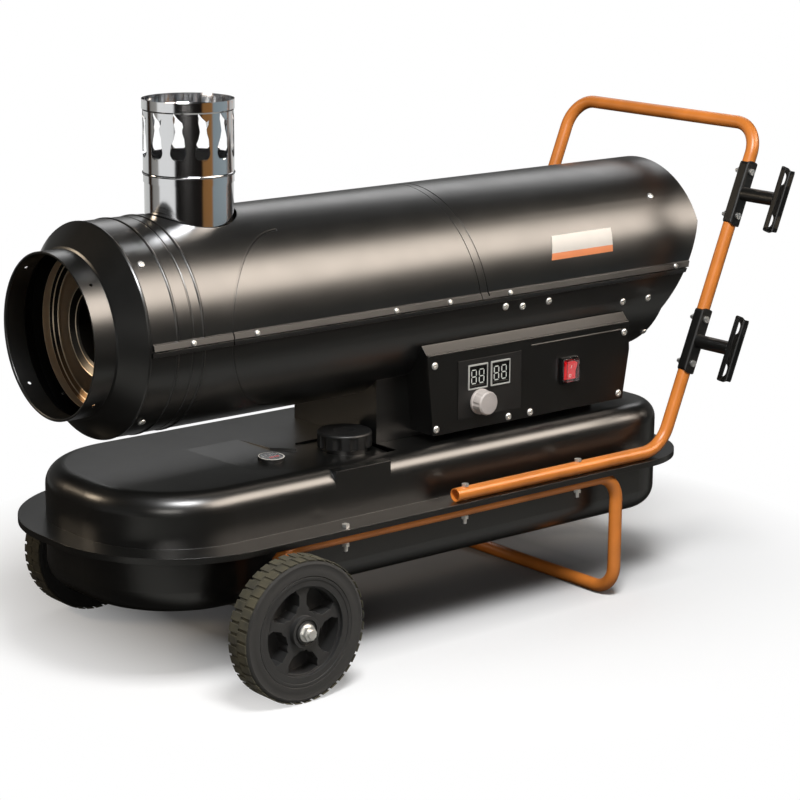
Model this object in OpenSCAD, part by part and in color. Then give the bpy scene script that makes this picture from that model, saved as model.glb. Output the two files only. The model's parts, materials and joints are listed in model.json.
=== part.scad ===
// Portable diesel space heater with a flue: a round air barrel stands on a flat
// fuel tank, which is carried by two wheels, a bent tube leg and a push handle.
// x runs from the wheel axle to the handle, the controls face -y, z is height
// above the floor. Every module is written from the axle, and placed() moves the
// whole heater so that the middle of its footprint is the origin.

/* [Fuel tank] */
// Length of the seam flange round the tank
flange_l = 1048; // [980:2:1090]
// Width of the seam flange
flange_w = 438; // [420:2:450]
// How far the flange stands out from the tank's sides
side_rim = 45; // [42:1:50]
// How far the flange stands out at the tank's front
front_rim = 38; // [34:1:44]
// How far the flange stands out at the tank's rear
rear_rim = 25; // [20:1:40]
// Height of the lip turned down round the flange
lip_h = 9; // [5:0.5:10]
// Height of the seam between the two tank halves
seam_z = 206; // [200:1:212]
// Height of the tank's flat top
tank_top_z = 280; // [272:1:284]
// Height of the tank's flat bottom
tank_bottom_z = 112; // [109:1:124]
// Plan radius of the tank's front corners
corner_front = 148; // [120:1:160]
// Plan radius of the tank's rear corners
corner_rear = 76; // [60:1:110]
// Radius of the pressed top edge
top_edge_r = 28; // [16:1:34]
// Radius of the pressed bottom edge
bottom_edge_r = 34; // [16:1:40]
// Thickness of the tank sheet
tank_t = 1.5; // [1:0.1:2.5]
// Distance of the wheel axle behind the front of the flange
axle_back = 226; // [210:1:240]

/* [Filler and gauge] */
// Distance of the filler behind the axle
filler_x = 224; // [215:1:226]
// Distance of the filler from the middle plane
filler_y = 74; // [68:1:80]
// Outer radius of the fuel cap
cap_r = 39.5; // [36:0.5:42]
// Height of the fuel cap
cap_h = 22; // [18:1:30]
// Outer radius of the filler neck
neck_r = 30; // [26:0.5:32]
// Tilt of the sunken filler floor towards the controls
pocket_tilt = 2.5; // [1.5:0.25:3.5]
// Distance of the fuel gauge behind the axle
gauge_x = 104; // [96:1:112]
// Distance of the fuel gauge from the middle plane
gauge_y = 60; // [52:1:70]
// Outer radius of the gauge bezel
gauge_r = 19; // [16:0.5:22]

/* [Wheels] */
// Outer radius of the tyres
wheel_r = 100; // [90:1:110]
// Width of the tyres
wheel_w = 42; // [36:1:46]
// Radius where the tyre meets the wheel
rim_r = 76; // [70:1:82]
// Distance from a side tube's middle to the outer face of a wheel
wheel_out = 72; // [68:1:78]
// Radius of the axle
axle_r = 6; // [5:0.5:8]
// Spokes in each wheel
spokes = 5; // [4:1:7]

/* [Frame tubes] */
// Outer diameter of the frame tubes
tube_d = 20; // [18:1:24]
// Wall of the frame tubes
tube_t = 1.5; // [1:0.1:2.5]
// How far a side tube's middle stands in from the flange's edge
tube_in = 14; // [13:0.5:17]
// Distance of the rear leg behind the axle
leg_x = 642; // [600:1:680]
// Bend radius of the chassis tube
chassis_bend = 40; // [34:1:50]
// Where the handle tube starts, behind the axle
handle_x0 = 321; // [300:1:330]
// Where the handle tube bends upwards, behind the axle
handle_x1 = 734; // [710:1:750]
// Where the handle tube ends at the top, behind the axle
handle_x2 = 928; // [900:1:940]
// Height of the handle's top bar
handle_z = 698; // [660:1:720]
// Bend radius at the foot of the handle
handle_bend = 55; // [45:1:65]
// Bend radius at the top of the handle
handle_top_bend = 46; // [38:1:60]

/* [Barrel] */
// Height of the barrel's underside
barrel_low_z = 337; // [331:1:343]
// Outer radius of the barrel
barrel_r = 147; // [144:0.5:149]
// Thickness of the barrel sheet
shell_t = 1.5; // [1:0.1:2]
// Front edge of the barrel, from the axle
barrel_x0 = -152; // [-160:1:-146]
// Rear edge of the barrel's lower half, behind the axle
barrel_x1 = 803; // [795:1:812]
// How far the upper hood reaches past the lower half
hood_over = 71; // [50:1:80]
// Where the two upper shells meet, behind the axle
shell_split_x = 404; // [390:1:420]
// Outer radius of the hot air outlet
outlet_r = 114; // [110:0.5:118]
// Front rim of the hot air outlet, from the axle
outlet_x = -217.5; // [-222:0.5:-212]
// Length of the outlet's round collar
outlet_l = 32; // [26:1:38]

/* [Flue] */
// Distance of the flue behind the axle
flue_x = 11.4; // [8:0.2:16]
// Outer radius of the flue pipe
flue_r = 61; // [58:0.5:62]
// Height of the flue pipe's top
flue_pipe_z = 708; // [700:1:726]
// Height of the slotted flue cap's top
flue_top_z = 784.5; // [776:0.5:796]
// Height of the flue cap's lower edge
flue_cap_z = 672; // [664:1:680]
// Flame shaped windows in the flue cap
flue_windows = 11; // [8:1:11]
// Angle from one flame window to the next
window_pitch = 31; // [28:0.5:32]

/* [Burner] */
// Outer radius of the combustion chamber
chamber_r = 92; // [86:1:94]
// Length of the combustion chamber
chamber_l = 530; // [500:2:540]
// Radius of the fan over its blades
fan_r = 118; // [108:1:124]
// Blades on the fan
fan_blades = 5; // [4:1:7]
// Position of the fan, behind the axle
fan_x = 728; // [720:1:736]

/* [Controls] */
// Front end of the control panel, behind the axle
panel_x0 = 316; // [308:1:324]
// Length of the control panel along its top edge
panel_l = 400; // [380:2:410]
// Height of the control panel
panel_h = 120; // [112:1:124]
// Height of the control panel's top edge
panel_top_z = 411; // [406:1:416]
// Distance of the control panel from the middle plane
panel_y = 145; // [140:1:150]
// Diameter of the thermostat knob
knob_d = 38; // [32:1:42]
// Width and height of one display window
display_w = 36; // [30:1:38]
// Width of the rocker switch
rocker_w = 22; // [18:1:26]
// Height of the rocker switch
rocker_h = 30; // [26:1:34]

/* [Cord hooks] */
// Length of a hook channel
hook_l = 102; // [90:1:112]
// Width of a hook channel
hook_w = 23; // [22.6:0.2:25]
// Height of the upper hook's middle
hook_upper_z = 597; // [585:1:605]
// Height of the lower hook's middle
hook_lower_z = 379; // [370:1:390]

/* [Hidden] */
$fn = 64;
eps = 0.01;
// gap between a turning piece and its pin
run_gap = 0.06;
// gap between pieces that only pass each other
part_gap = 0.3;

black = [0.07, 0.07, 0.07];
orange = [0.88, 0.48, 0.10];
zinc = [0.78, 0.78, 0.76];
steel = [0.72, 0.72, 0.74];
rubber_grey = [0.25, 0.25, 0.23];

// tank walls, seen from above
flange_x0 = -axle_back;
flange_x1 = flange_l - axle_back;
wall_x0 = flange_x0 + front_rim;
wall_x1 = flange_x1 - rear_rim;
wall_y = flange_w / 2 - side_rim;
tube_r = tube_d / 2;
tube_y = flange_w / 2 - tube_in;
wheel_face_y = tube_y + wheel_out;

barrel_z = barrel_low_z + barrel_r;

// the heater's reach in front of and behind the axle
mid_x = (flange_x0 + handle_x2 + tube_r) / 2;

// pocket floor height at a distance y from the middle plane
pocket_far_y = 45;
pocket_near_y = -142;
function pocket_z(y) = tank_top_z - (pocket_far_y - y) * tan(pocket_tilt);
filler_z = pocket_z(-filler_y);
gauge_z = pocket_z(-gauge_y);

module placed() translate([-mid_x, 0, 0]) children();

// turns a profile drawn as [radius, x] about the x axis, from +y over +z
module around_x(from = 0, sweep = 360)
  rotate([90, 0, 90]) rotate([0, 0, from]) rotate_extrude(angle = sweep, $fn = 96) children();

// extrudes a profile drawn as [y, z] from x0 to x1
module along_x(x0, x1)
  translate([x0, 0, 0]) rotate([90, 0, 90]) linear_extrude(x1 - x0) children();

// extrudes a profile drawn as [x, z] over a width w, centred on the middle plane
module across_y(w)
  rotate([90, 0, 0]) linear_extrude(w, center = true) children();

module both_sides() {
  children();
  mirror([0, 1, 0]) children();
}

// A bent round bar. path is its corner points and bends the radius at each inner one.
function unit(v) = v / norm(v);
function bend_set(path, bends, i) =
  let (u = unit(path[i] - path[i - 1]), v = unit(path[i + 1] - path[i]))
  bends[i - 1] * tan(acos(u * v) / 2);
function start_cut(path, bends, i) = i == 0 ? 0 : bend_set(path, bends, i);
function end_cut(path, bends, i) = i == len(path) - 1 ? 0 : bend_set(path, bends, i);

// round section of a bar, hollow where it has a wall t
module bar_section(r, t)
  difference() {
    circle(r);
    if (t > 0) circle(r - t);
  }

module bar_between(a, b, r, t) {
  d = b - a;
  translate(a) rotate([0, acos(d.z / norm(d)), atan2(d.y, d.x)]) linear_extrude(norm(d)) bar_section(r, t);
}

module bar_elbow(a, b, c, bend, r, t) {
  u = unit(b - a);
  v = unit(c - b);
  turn = acos(u * v);
  n = unit(v - (u * v) * u);
  w = cross(u, n);
  o = b - bend * tan(turn / 2) * u + bend * n;
  multmatrix([[-n.x, u.x, w.x, o.x], [-n.y, u.y, w.y, o.y], [-n.z, u.z, w.z, o.z], [0, 0, 0, 1]])
    rotate_extrude(angle = turn) translate([bend, 0]) bar_section(r, t);
}

// Straight runs reach a little way into the bends, which are a hair thinner.
run_over = 0.5;
bend_thin = 0.05;
module bent_bar(path, bends, r, t = 0) {
  last = len(path) - 1;
  for (i = [0 : last - 1]) {
    u = unit(path[i + 1] - path[i]);
    bar_between(path[i] + (start_cut(path, bends, i) - (i > 0 ? run_over : 0)) * u,
      path[i + 1] - (end_cut(path, bends, i + 1) - (i < last - 1 ? run_over : 0)) * u, r, t);
  }
  for (i = [1 : last - 1])
    bar_elbow(path[i - 1], path[i], path[i + 1], bends[i - 1], r - bend_thin, t > 0 ? t - 2 * bend_thin : 0);
}

// Tank pressings

// Plan outline with its own corner radii at the front and the rear.
module plan(x0, x1, hw, rf, rr) {
  translate([x0 + rf, -hw]) square([x1 - rr - x0 - rf, 2 * hw]);
  translate([x0, rf - hw]) square([rf, 2 * (hw - rf)]);
  translate([x1 - rr, rr - hw]) square([rr, 2 * (hw - rr)]);
  for (s = [-1, 1]) {
    translate([x0 + rf, s * (hw - rf)]) circle(rf, $fn = 96);
    translate([x1 - rr, s * (hw - rr)]) circle(rr, $fn = 96);
  }
}

// Section of a tray's edge: w out from the corner centre, h high, with a rounded top edge.
module edge_section(w, h, re) {
  square([w, h - re]);
  square([w - re, h]);
  translate([w - re, h - re]) circle(re);
}

module tray_corner(x, y, from, rc, h, re)
  translate([x, y, 0]) rotate([0, 0, from])
    rotate_extrude(angle = 90, $fn = 96) edge_section(rc, h, re);

// Solid tray that stands on z = 0, with a rounded top edge all round.
module tray(x0, x1, hw, rf, rr, h, re) {
  along_x(x0 + rf, x1 - rr) {
    edge_section(hw, h, re);
    mirror([1, 0]) edge_section(hw, h, re);
  }
  translate([x0 + rf, 0, 0]) mirror([1, 0, 0]) across_y(2 * (hw - rf)) edge_section(rf, h, re);
  translate([x1 - rr, 0, 0]) across_y(2 * (hw - rr)) edge_section(rr, h, re);
  tray_corner(x0 + rf, hw - rf, 90, rf, h, re);
  tray_corner(x0 + rf, rf - hw, 180, rf, h, re);
  tray_corner(x1 - rr, rr - hw, 270, rr, h, re);
  tray_corner(x1 - rr, hw - rr, 0, rr, h, re);
}

module tank_tray(h, re, in = 0)
  tray(wall_x0 + in, wall_x1 - in, wall_y - in, corner_front - in, corner_rear - in, h - in, re - in);

// Plan of the flange, drawn in by g all round.
module flange_plan(g = 0)
  plan(flange_x0 + g, flange_x1 - g, flange_w / 2 - g,
    corner_front + side_rim - g, corner_rear + side_rim - g);

module flange_ring(g = 0)
  difference() {
    flange_plan(g);
    plan(wall_x0 + tank_t, wall_x1 - tank_t, wall_y - tank_t, corner_front - tank_t, corner_rear - tank_t);
  }

// The upper flange's edge, turned down over the lower flange.
lip_t = 2;
module flange_lip()
  difference() {
    flange_plan();
    flange_plan(lip_t);
  }

// Where the bolts go through flange and tubes, on one side
bolt_x = [123, 340, 561];
bolt_r = 3;
module at_frame_bolts()
  for (x = bolt_x) both_sides() translate([x, -tube_y, 0]) children();

// Plan of the sunken filler area, grown by g.
module pocket_plan(g)
  polygon([[29 - g, pocket_far_y + 30], [38 - g, -100 - g], [95 - g, pocket_near_y - g],
           [filler_x + cap_r + 2, pocket_near_y - g], [filler_x + cap_r + 2, -22 + g],
           [175, -22 + g], [157, -49 + g], [130 + g, -21 + g], [118 + g, pocket_far_y + 30]]);

// Everything above the tilted pocket floor, lowered by g.
module pocket_cut(g = 0)
  intersection() {
    translate([0, 0, tank_top_z - 40]) linear_extrude(80) pocket_plan(g);
    translate([0, pocket_far_y, tank_top_z - g]) rotate([pocket_tilt, 0, 0])
      translate([-50, -400, 0]) cube([500, 500, 60]);
  }

// The land beside the filler, where the near edge is pressed square.
land_x0 = 131;
land_x1 = 228;
module edge_land(in = 0)
  translate([land_x0 + in, -wall_y + in, seam_z])
    cube([land_x1 - land_x0 - 2 * in, 30, tank_top_z - 2.5 - seam_z - in]);

// pick up point of the fuel, and the opening above it in the barrel's underside
pickup_x = 420;
pickup_r = 4;
feed_hole_r = 60;

module tank_upper()
  color(black) placed() difference() {
    union() {
      difference() {
        union() {
          translate([0, 0, seam_z]) tank_tray(tank_top_z - seam_z, top_edge_r);
          edge_land();
        }
        pocket_cut();
        translate([0, 0, seam_z - eps]) difference() {
          union() {
            tank_tray(tank_top_z - seam_z + eps, top_edge_r, tank_t);
            translate([0, 0, -seam_z]) edge_land(tank_t);
          }
          translate([0, 0, -seam_z]) pocket_cut(tank_t);
        }
      }
      translate([0, 0, seam_z]) linear_extrude(tank_t) flange_ring();
      translate([0, 0, seam_z + tank_t - lip_h]) linear_extrude(lip_h) flange_lip();
    }
    at_frame_bolts() translate([0, 0, seam_z - 1]) cylinder(r = bolt_r + part_gap, h = 10);
    translate([filler_x, -filler_y, filler_z - 20]) cylinder(r = neck_r - neck_t + eps, h = 40);
    translate([gauge_x, -gauge_y, gauge_z - 15]) cylinder(r = gauge_stem_r + part_gap, h = 30);
    translate([pickup_x, 0, tank_top_z - 5]) cylinder(r = pickup_r + 0.05, h = 10);
  }

drain_x = 60;
drain_r = 9;

module tank_lower()
  color(black) placed() difference() {
    union() {
      translate([0, 0, seam_z]) mirror([0, 0, 1]) difference() {
        tank_tray(seam_z - tank_bottom_z, bottom_edge_r);
        translate([0, 0, -eps]) tank_tray(seam_z - tank_bottom_z + eps, bottom_edge_r, tank_t);
      }
      translate([0, 0, seam_z - tank_t]) linear_extrude(tank_t) flange_ring(lip_t + part_gap);
    }
    at_frame_bolts() translate([0, 0, seam_z - 8]) cylinder(r = bolt_r + part_gap, h = 10);
    translate([drain_x, 0, tank_bottom_z - 1]) cylinder(r = drain_r + 0.05, h = 10);
  }

module drain_plug()
  color(zinc) placed() translate([drain_x, 0, 0]) difference() {
    union() {
      translate([0, 0, tank_bottom_z - 5]) cylinder(r = drain_r + 3, h = 5, $fn = 6);
      translate([0, 0, tank_bottom_z - 1]) cylinder(r = drain_r, h = 10);
    }
    translate([0, 0, tank_bottom_z + 2]) cylinder(r = drain_r - 3, h = 10);
  }

// Filler

neck_t = 2;
gasket_t = 4;
cap_top_t = 3;
cap_room = 2.4;
collar_r = neck_r + 6;
// the skirt ends just above the tank's top, and the neck reaches the gasket
cap_z0 = tank_top_z + 0.4;
neck_z1 = cap_z0 + cap_h - cap_top_t - gasket_t;

// The pressed collar that carries the neck, and the neck itself.
module filler_neck()
  color(black) placed() translate([filler_x, -filler_y, 0]) difference() {
    union() {
      translate([0, 0, filler_z - 12]) cylinder(r = neck_r, h = neck_z1 - filler_z + 12);
      translate([0, 0, filler_z - 12]) cylinder(r = collar_r, h = tank_top_z - filler_z + 11.9);
    }
    translate([0, 0, filler_z - 40]) cylinder(r = neck_r - neck_t, h = 100);
    neck_below();
  }

// All that lies under the tilted tank sheet at the neck.
module neck_below()
  translate([0, filler_y + pocket_far_y, tank_top_z]) rotate([pocket_tilt, 0, 0])
    translate([-150, -400, -60]) cube([300, 500, 60]);

strainer_l = 70;
strainer_r = neck_r - neck_t - 1;
module fuel_strainer()
  color(steel) placed() translate([filler_x, -filler_y, 0]) difference() {
    union() {
      translate([0, 0, neck_z1 - 1.5]) cylinder(r = neck_r - neck_t - 0.05, h = 1.5);
      translate([0, 0, neck_z1 - strainer_l]) cylinder(r = strainer_r, h = strainer_l);
    }
    translate([0, 0, neck_z1 - strainer_l + 1]) cylinder(r = strainer_r - 1, h = strainer_l);
    for (z = [0 : 2], a = [0 : 45 : 135])
      translate([0, 0, neck_z1 - strainer_l + 8 + 14 * z]) rotate([0, 0, a + 22 * z])
        translate([-40, -5, 0]) cube([80, 10, 8]);
  }

module cap_gasket()
  color([0.1, 0.1, 0.1]) placed() translate([filler_x, -filler_y, neck_z1]) difference() {
    cylinder(r = neck_r + 0.5, h = gasket_t);
    translate([0, 0, -1]) cylinder(r = neck_r - neck_t, h = gasket_t + 2);
  }

// Screw cap with a dished top and finger scallops round its skirt.
scallops = 10;
dish_flat_r = 6;
dish_depth = 2.5;
dish_r = 24.5;
module fuel_cap()
  color([0.06, 0.06, 0.06]) placed() translate([filler_x, -filler_y, cap_z0]) difference() {
    rotate_extrude() difference() {
      union() {
        square([cap_r - 3, cap_h]);
        square([cap_r, cap_h - 3]);
        translate([cap_r - 3, cap_h - 3]) circle(3);
      }
      translate([dish_flat_r, cap_h + dish_r - dish_depth]) circle(dish_r);
      translate([-1, cap_h - dish_depth]) square([dish_flat_r + 1, 2 * dish_depth]);
    }
    translate([0, 0, -1]) cylinder(r = neck_r + cap_room, h = cap_h - cap_top_t + 1);
    for (i = [1 : scallops]) rotate([0, 0, i * 360 / scallops])
      translate([cap_r + 5, 0, -1]) cylinder(r = 8.5, h = cap_h - 3);
  }

// Fuel gauge: a bezel on the tilted floor, a float arm in the tank and a needle.

gauge_stem_r = 12;
gauge_h = 5;
gauge_post_r = 2;
gauge_depth = 78;
module at_gauge() translate([gauge_x, -gauge_y, gauge_z]) children();
module gauge_tilted() rotate([pocket_tilt, 0, 0]) children();

float_pivot_z = -gauge_depth + 8;
module gauge_body()
  color([0.15, 0.15, 0.15]) placed() at_gauge() difference() {
    union() {
      gauge_tilted() cylinder(r = gauge_r, h = gauge_h);
      translate([0, 0, -12]) cylinder(r = gauge_stem_r, h = 12);
      translate([-2, -8, -gauge_depth]) cube([4, 16, gauge_depth - 8]);
    }
    gauge_tilted() translate([0, 0, 1.5]) cylinder(r = gauge_r - 2, h = gauge_h);
    gauge_tilted() translate([0, 0, 0.6]) cylinder(r = gauge_post_r + run_gap, h = 4);
    translate([-10, 0, float_pivot_z]) rotate([0, 90, 0]) cylinder(r = 2 + run_gap, h = 20);
  }

module gauge_lens()
  color([0.85, 0.9, 0.92, 0.4]) placed() at_gauge() gauge_tilted()
    translate([0, 0, gauge_h - 1.2]) cylinder(r = gauge_r - 2, h = 1.6);

module gauge_needle()
  color([0.8, 0.15, 0.1]) placed() at_gauge() gauge_tilted() {
    translate([0, 0, 0.7]) cylinder(r = gauge_post_r, h = 2);
    translate([-3, -1, 1.9]) cube([gauge_r - 3, 2, 0.8]);
  }

float_arm_l = 62;
module gauge_float()
  color([0.75, 0.7, 0.5]) placed() at_gauge() translate([0, 0, float_pivot_z]) {
    translate([-4.3, 0, 0]) rotate([0, 90, 0]) cylinder(r = 2, h = 8.6);
    translate([2.3, -2, -2]) cube([2, float_arm_l, 4]);
    translate([2.3 - 14, float_arm_l + 11, 0]) rotate([0, 90, 0]) cylinder(r = 14, h = 30);
  }

// Frame

tube_top_z = seam_z + tank_t + tube_r;
tube_low_z = seam_z - tank_t - tube_r;
axle_drop = 15;

chassis_path = [[0, -tube_y, wheel_r - axle_drop], [0, -tube_y, tube_low_z], [leg_x, -tube_y, tube_low_z],
  [leg_x, -tube_y, tube_r], [leg_x, tube_y, tube_r], [leg_x, tube_y, tube_low_z],
  [0, tube_y, tube_low_z], [0, tube_y, wheel_r - axle_drop]];
chassis_bends = [for (i = [1 : len(chassis_path) - 2]) chassis_bend];

// the handle's legs lean back by this angle from their foot corners
handle_lean = atan2(handle_x2 - handle_x1, handle_z - tube_top_z);
handle_leg = norm([handle_x2 - handle_x1, handle_z - tube_top_z]);
foot_set = handle_bend * tan(45 - handle_lean / 2);

// The handle: level runs on the flange, and a leaning bow that is drawn upright
// and then tilted about its foot corners.
module handle_bow() {
  both_sides()
    bar_between([handle_x0, -tube_y, tube_top_z],
      [handle_x1 - foot_set + run_over, -tube_y, tube_top_z], tube_r, tube_t);
  translate([handle_x1, 0, tube_top_z]) rotate([0, handle_lean, 0]) {
    bent_bar([[0, -tube_y, foot_set - run_over], [0, -tube_y, handle_leg],
      [0, tube_y, handle_leg], [0, tube_y, foot_set - run_over]],
      [handle_top_bend, handle_top_bend], tube_r, tube_t);
    both_sides() bar_elbow([0, -tube_y, handle_leg], [0, -tube_y, 0],
      [-cos(handle_lean), -tube_y, -sin(handle_lean)], handle_bend,
      tube_r - bend_thin, tube_t - 2 * bend_thin);
  }
}

module chassis_tube()
  color(orange) placed() difference() {
    bent_bar(chassis_path, chassis_bends, tube_r, tube_t);
    at_frame_bolts() translate([0, 0, tube_low_z - tube_d]) cylinder(r = bolt_r + part_gap, h = 2 * tube_d);
    translate([0, -tube_y - tube_d, wheel_r]) rotate([-90, 0, 0])
      cylinder(r = axle_r + 0.05, h = 2 * (tube_y + tube_d));
  }

module handle_tube()
  color(orange) placed() difference() {
    handle_bow();
    for (x = [bolt_x[1], bolt_x[2]]) both_sides() translate([x, -tube_y, tube_top_z - tube_d])
      cylinder(r = bolt_r + part_gap, h = 2 * tube_d);
    at_hooks() hook_bolt_holes();
  }

// One frame bolt: head on top, nut below, thread end showing under the nut.
module frame_bolt(top_z) {
  translate([0, 0, top_z]) cylinder(r = 5.5, h = 4, $fn = 6);
  translate([0, 0, tube_low_z - tube_r - 12]) cylinder(r = bolt_r, h = top_z - tube_low_z + tube_r + 13);
  translate([0, 0, tube_low_z - tube_r - 5]) cylinder(r = 5.5, h = 5, $fn = 6);
}

module frame_bolts()
  color(zinc) placed() both_sides() {
    translate([bolt_x[0], -tube_y, 0]) frame_bolt(seam_z + tank_t);
    for (x = [bolt_x[1], bolt_x[2]]) translate([x, -tube_y, 0]) frame_bolt(tube_top_z + tube_r);
  }

// Axle and wheels

axle_end = 14;
hub_in_y = wheel_face_y - wheel_w;
washer_r = 12.5;
washer_t = 2;
nut_h = 7;

module axle()
  color(zinc) placed() translate([0, 0, wheel_r]) rotate([90, 0, 0])
    cylinder(r = axle_r, h = 2 * (wheel_face_y + axle_end), center = true);

module on_axle(y, h, r)
  translate([0, -y, wheel_r]) rotate([90, 0, 0]) cylinder(r = r, h = h);

// A spacer sleeve inside each wheel and a washer outside it.
module axle_washers()
  color(zinc) placed() both_sides() difference() {
    union() {
      on_axle(tube_y + tube_r, hub_in_y - tube_y - tube_r - part_gap, 10);
      on_axle(wheel_face_y + part_gap, washer_t, washer_r);
    }
    on_axle(tube_y, 100, axle_r + 0.03);
  }

module axle_nuts()
  color(zinc) placed() both_sides() difference() {
    translate([0, -wheel_face_y - part_gap - washer_t, wheel_r]) rotate([90, 0, 0])
      cylinder(r = 10.5, h = nut_h, $fn = 6);
    on_axle(wheel_face_y, 100, axle_r + 0.03);
  }

// Wheel on the -y side, drawn as [radius, distance out from the inner face].
hub_r = 22;
web_r = 63;
web_t = 26;
web_out = 8;
web_floor = 3;
module wheel_rim()
  translate([0, -hub_in_y, wheel_r]) rotate([90, 0, 0]) difference() {
    rotate_extrude($fn = 96) difference() {
      union() {
        square([hub_r, wheel_w]);
        translate([0, wheel_w - web_out - web_t]) square([web_r + 1, web_t]);
        translate([web_r, 2]) square([rim_r - web_r, wheel_w - 4]);
        translate([rim_r - 4, 1]) square([4, wheel_w - 2]);
      }
      translate([-1, -1]) square([axle_r + run_gap + 1, wheel_w + 2]);
      translate([hub_r - 7, wheel_w - 3]) square([3, 4]);
    }
    translate([0, 0, wheel_w - web_out - web_t + web_floor]) linear_extrude(web_t) wheel_windows();
  }

// Pockets between the spokes, which are wider at the hub and at the rim.
module wheel_windows()
  difference() {
    circle(web_r - 3);
    circle(hub_r + 6);
    for (i = [0 : spokes - 1]) rotate([0, 0, 90 + 360 / spokes * i]) {
      translate([0, -6]) square([web_r, 12]);
      translate([web_r - 2, 0]) circle(12);
      translate([hub_r + 4, 0]) circle(11);
    }
  }

// Tyre with rounded shoulders and a flat tread.
module wheel_tyre()
  translate([0, -hub_in_y, wheel_r]) rotate([90, 0, 0]) difference() {
    rotate_extrude($fn = 96) difference() {
      union() {
        translate([rim_r, 1]) square([wheel_r - rim_r - 5, wheel_w - 2]);
        translate([rim_r, 5]) square([wheel_r - rim_r - 1, wheel_w - 10]);
        for (y = [6, wheel_w - 6]) translate([wheel_r - 6, y]) circle(5);
        translate([rim_r, 8]) square([wheel_r - rim_r, wheel_w - 16]);
      }
      translate([0, -1]) square([rim_r, wheel_w + 2]);
    }
  }

module wheel_rim_left() color([0.1, 0.1, 0.1]) placed() wheel_rim();
module wheel_tyre_left() color(rubber_grey) placed() wheel_tyre();
module wheel_rim_right() color([0.1, 0.1, 0.1]) placed() mirror([0, 1, 0]) wheel_rim();
module wheel_tyre_right() color(rubber_grey) placed() mirror([0, 1, 0]) wheel_tyre();

// Barrel

module on_barrel() translate([0, 0, barrel_z]) children();

bead_x = [-111, -69];
groove_x = -86;
hood_x1 = barrel_x1 + hood_over;
slant_low = -68;
slant_high = 62;

// Wall of the barrel as [radius, x], with its two raised beads and the groove between.
module barrel_wall(x0, x1, beads = true)
  difference() {
    union() {
      translate([barrel_r - shell_t, x0]) square([shell_t, x1 - x0]);
      if (beads) {
        for (x = bead_x) translate([barrel_r - 1.2, x]) circle(2.6);
      }
    }
    if (beads) translate([barrel_r + 1.7, groove_x]) circle(2.3);
  }

// Cuts the rear end: upright at the hood, slanting forward to the lower half.
module rear_cut()
  across_y(4 * barrel_r)
    polygon([[hood_x1, 2 * barrel_r], [hood_x1, slant_high], [barrel_x1, slant_low],
             [barrel_x1, -2 * barrel_r], [hood_x1 + 50, -2 * barrel_r], [hood_x1 + 50, 2 * barrel_r]]);

// Curved crease pressed in the sides behind the flue.
crease_x = -23;
crease_r = 122;
module side_crease()
  difference() {
    translate([crease_x + crease_r, 0, 0]) rotate([90, 0, 0]) difference() {
      cylinder(r = crease_r + 1, h = 4 * barrel_r, center = true, $fn = 96);
      cylinder(r = crease_r - 1, h = 5 * barrel_r, center = true, $fn = 96);
    }
    translate([-400, 0, 0]) rotate([0, 90, 0]) cylinder(r = barrel_r - 0.7, h = 900, $fn = 96);
    translate([crease_x + crease_r, -200, -200]) cube(400);
  }

// The sloped drip edge along each side of the upper shells, as [y, z].
band_y = 4.5;
band_slope = atan(2.5 / 8);
module drip_band()
  polygon([[barrel_r - 1.25, 6], [barrel_r + band_y - 2.5, 4.5], [barrel_r + band_y, -3.5],
           [barrel_r + 1.7, -3.5], [barrel_r + 1.7, 0], [barrel_r - 1.4, 0]]);

module lower_rib()
  polygon([[barrel_r - 1.25, -5], [barrel_r + 3, -5.5], [barrel_r + 3, -11.5], [barrel_r - 1.85, -13]]);

// Split plane between the two upper shells: dx towards the rear, leaning forward at the top.
split_lean = 9.5;
module split_half(dx, front)
  translate([shell_split_x + dx, 0, 70]) rotate([0, -split_lean, 0])
    translate([front ? -700 : 0, -200, -200]) cube([700, 400, 400]);

module flue_hole()
  translate([flue_x, 0, 0]) cylinder(r = flue_r + 4, h = 200);

module barrel_lower()
  color(black) placed() on_barrel() difference() {
    union() {
      around_x(180, 180) barrel_wall(barrel_x0, hood_x1);
      both_sides() along_x(barrel_x0, hood_x1) lower_rib();
    }
    rear_cut();
    side_crease();
    at_shell_screws() screw_hole();
    at_band_screws() screw_hole();
    translate([pickup_x, 0, -200]) cylinder(r = feed_hole_r, h = 200);
  }

module upper_shell()
  difference() {
    union() {
      around_x(0, 180) barrel_wall(barrel_x0, hood_x1);
      both_sides() along_x(barrel_x0 + 2, hood_x1) drip_band();
    }
    rear_cut();
    side_crease();
    at_shell_screws() screw_hole();
    at_band_screws() screw_hole();
    flue_hole();
  }

module barrel_upper_front()
  color(black) placed() on_barrel() intersection() {
    upper_shell();
    split_half(-0.5, true);
  }

// The rear hood, with a pressed line just behind its front edge.
module barrel_upper_rear()
  color(black) placed() on_barrel() difference() {
    intersection() {
      upper_shell();
      split_half(0.5, false);
    }
    difference() {
      intersection() {
        split_half(13, false);
        split_half(15, true);
      }
      rotate([0, 90, 0]) cylinder(r = barrel_r - 0.7, h = 900, $fn = 96);
      translate([0, -200, -8]) cube([900, 400, 8]);
    }
  }

// Screws through the shells: [x, angle above the near side]
side_screws = [[-138, 45], [-138, -48], [798, 45], [709, -17.6], [763, -17.8], [797, -48],
  [465, -8], [499, -9.5], [551, -9]];
band_screws = [-88, 15, 256, 355, 470, 811];
module at_shell_screws() {
  for (s = side_screws) both_sides() rotate([-s[1], 0, 0])
    translate([s[0], -barrel_r, 0]) rotate([90, 0, 0]) children();
}

// Smaller screws that stand square on the sloping drip edge.
module at_band_screws()
  for (x = band_screws) both_sides() translate([x, -barrel_r - band_y + 1.25, 0.5])
    rotate([90 - band_slope, 0, 0]) children();

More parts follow.
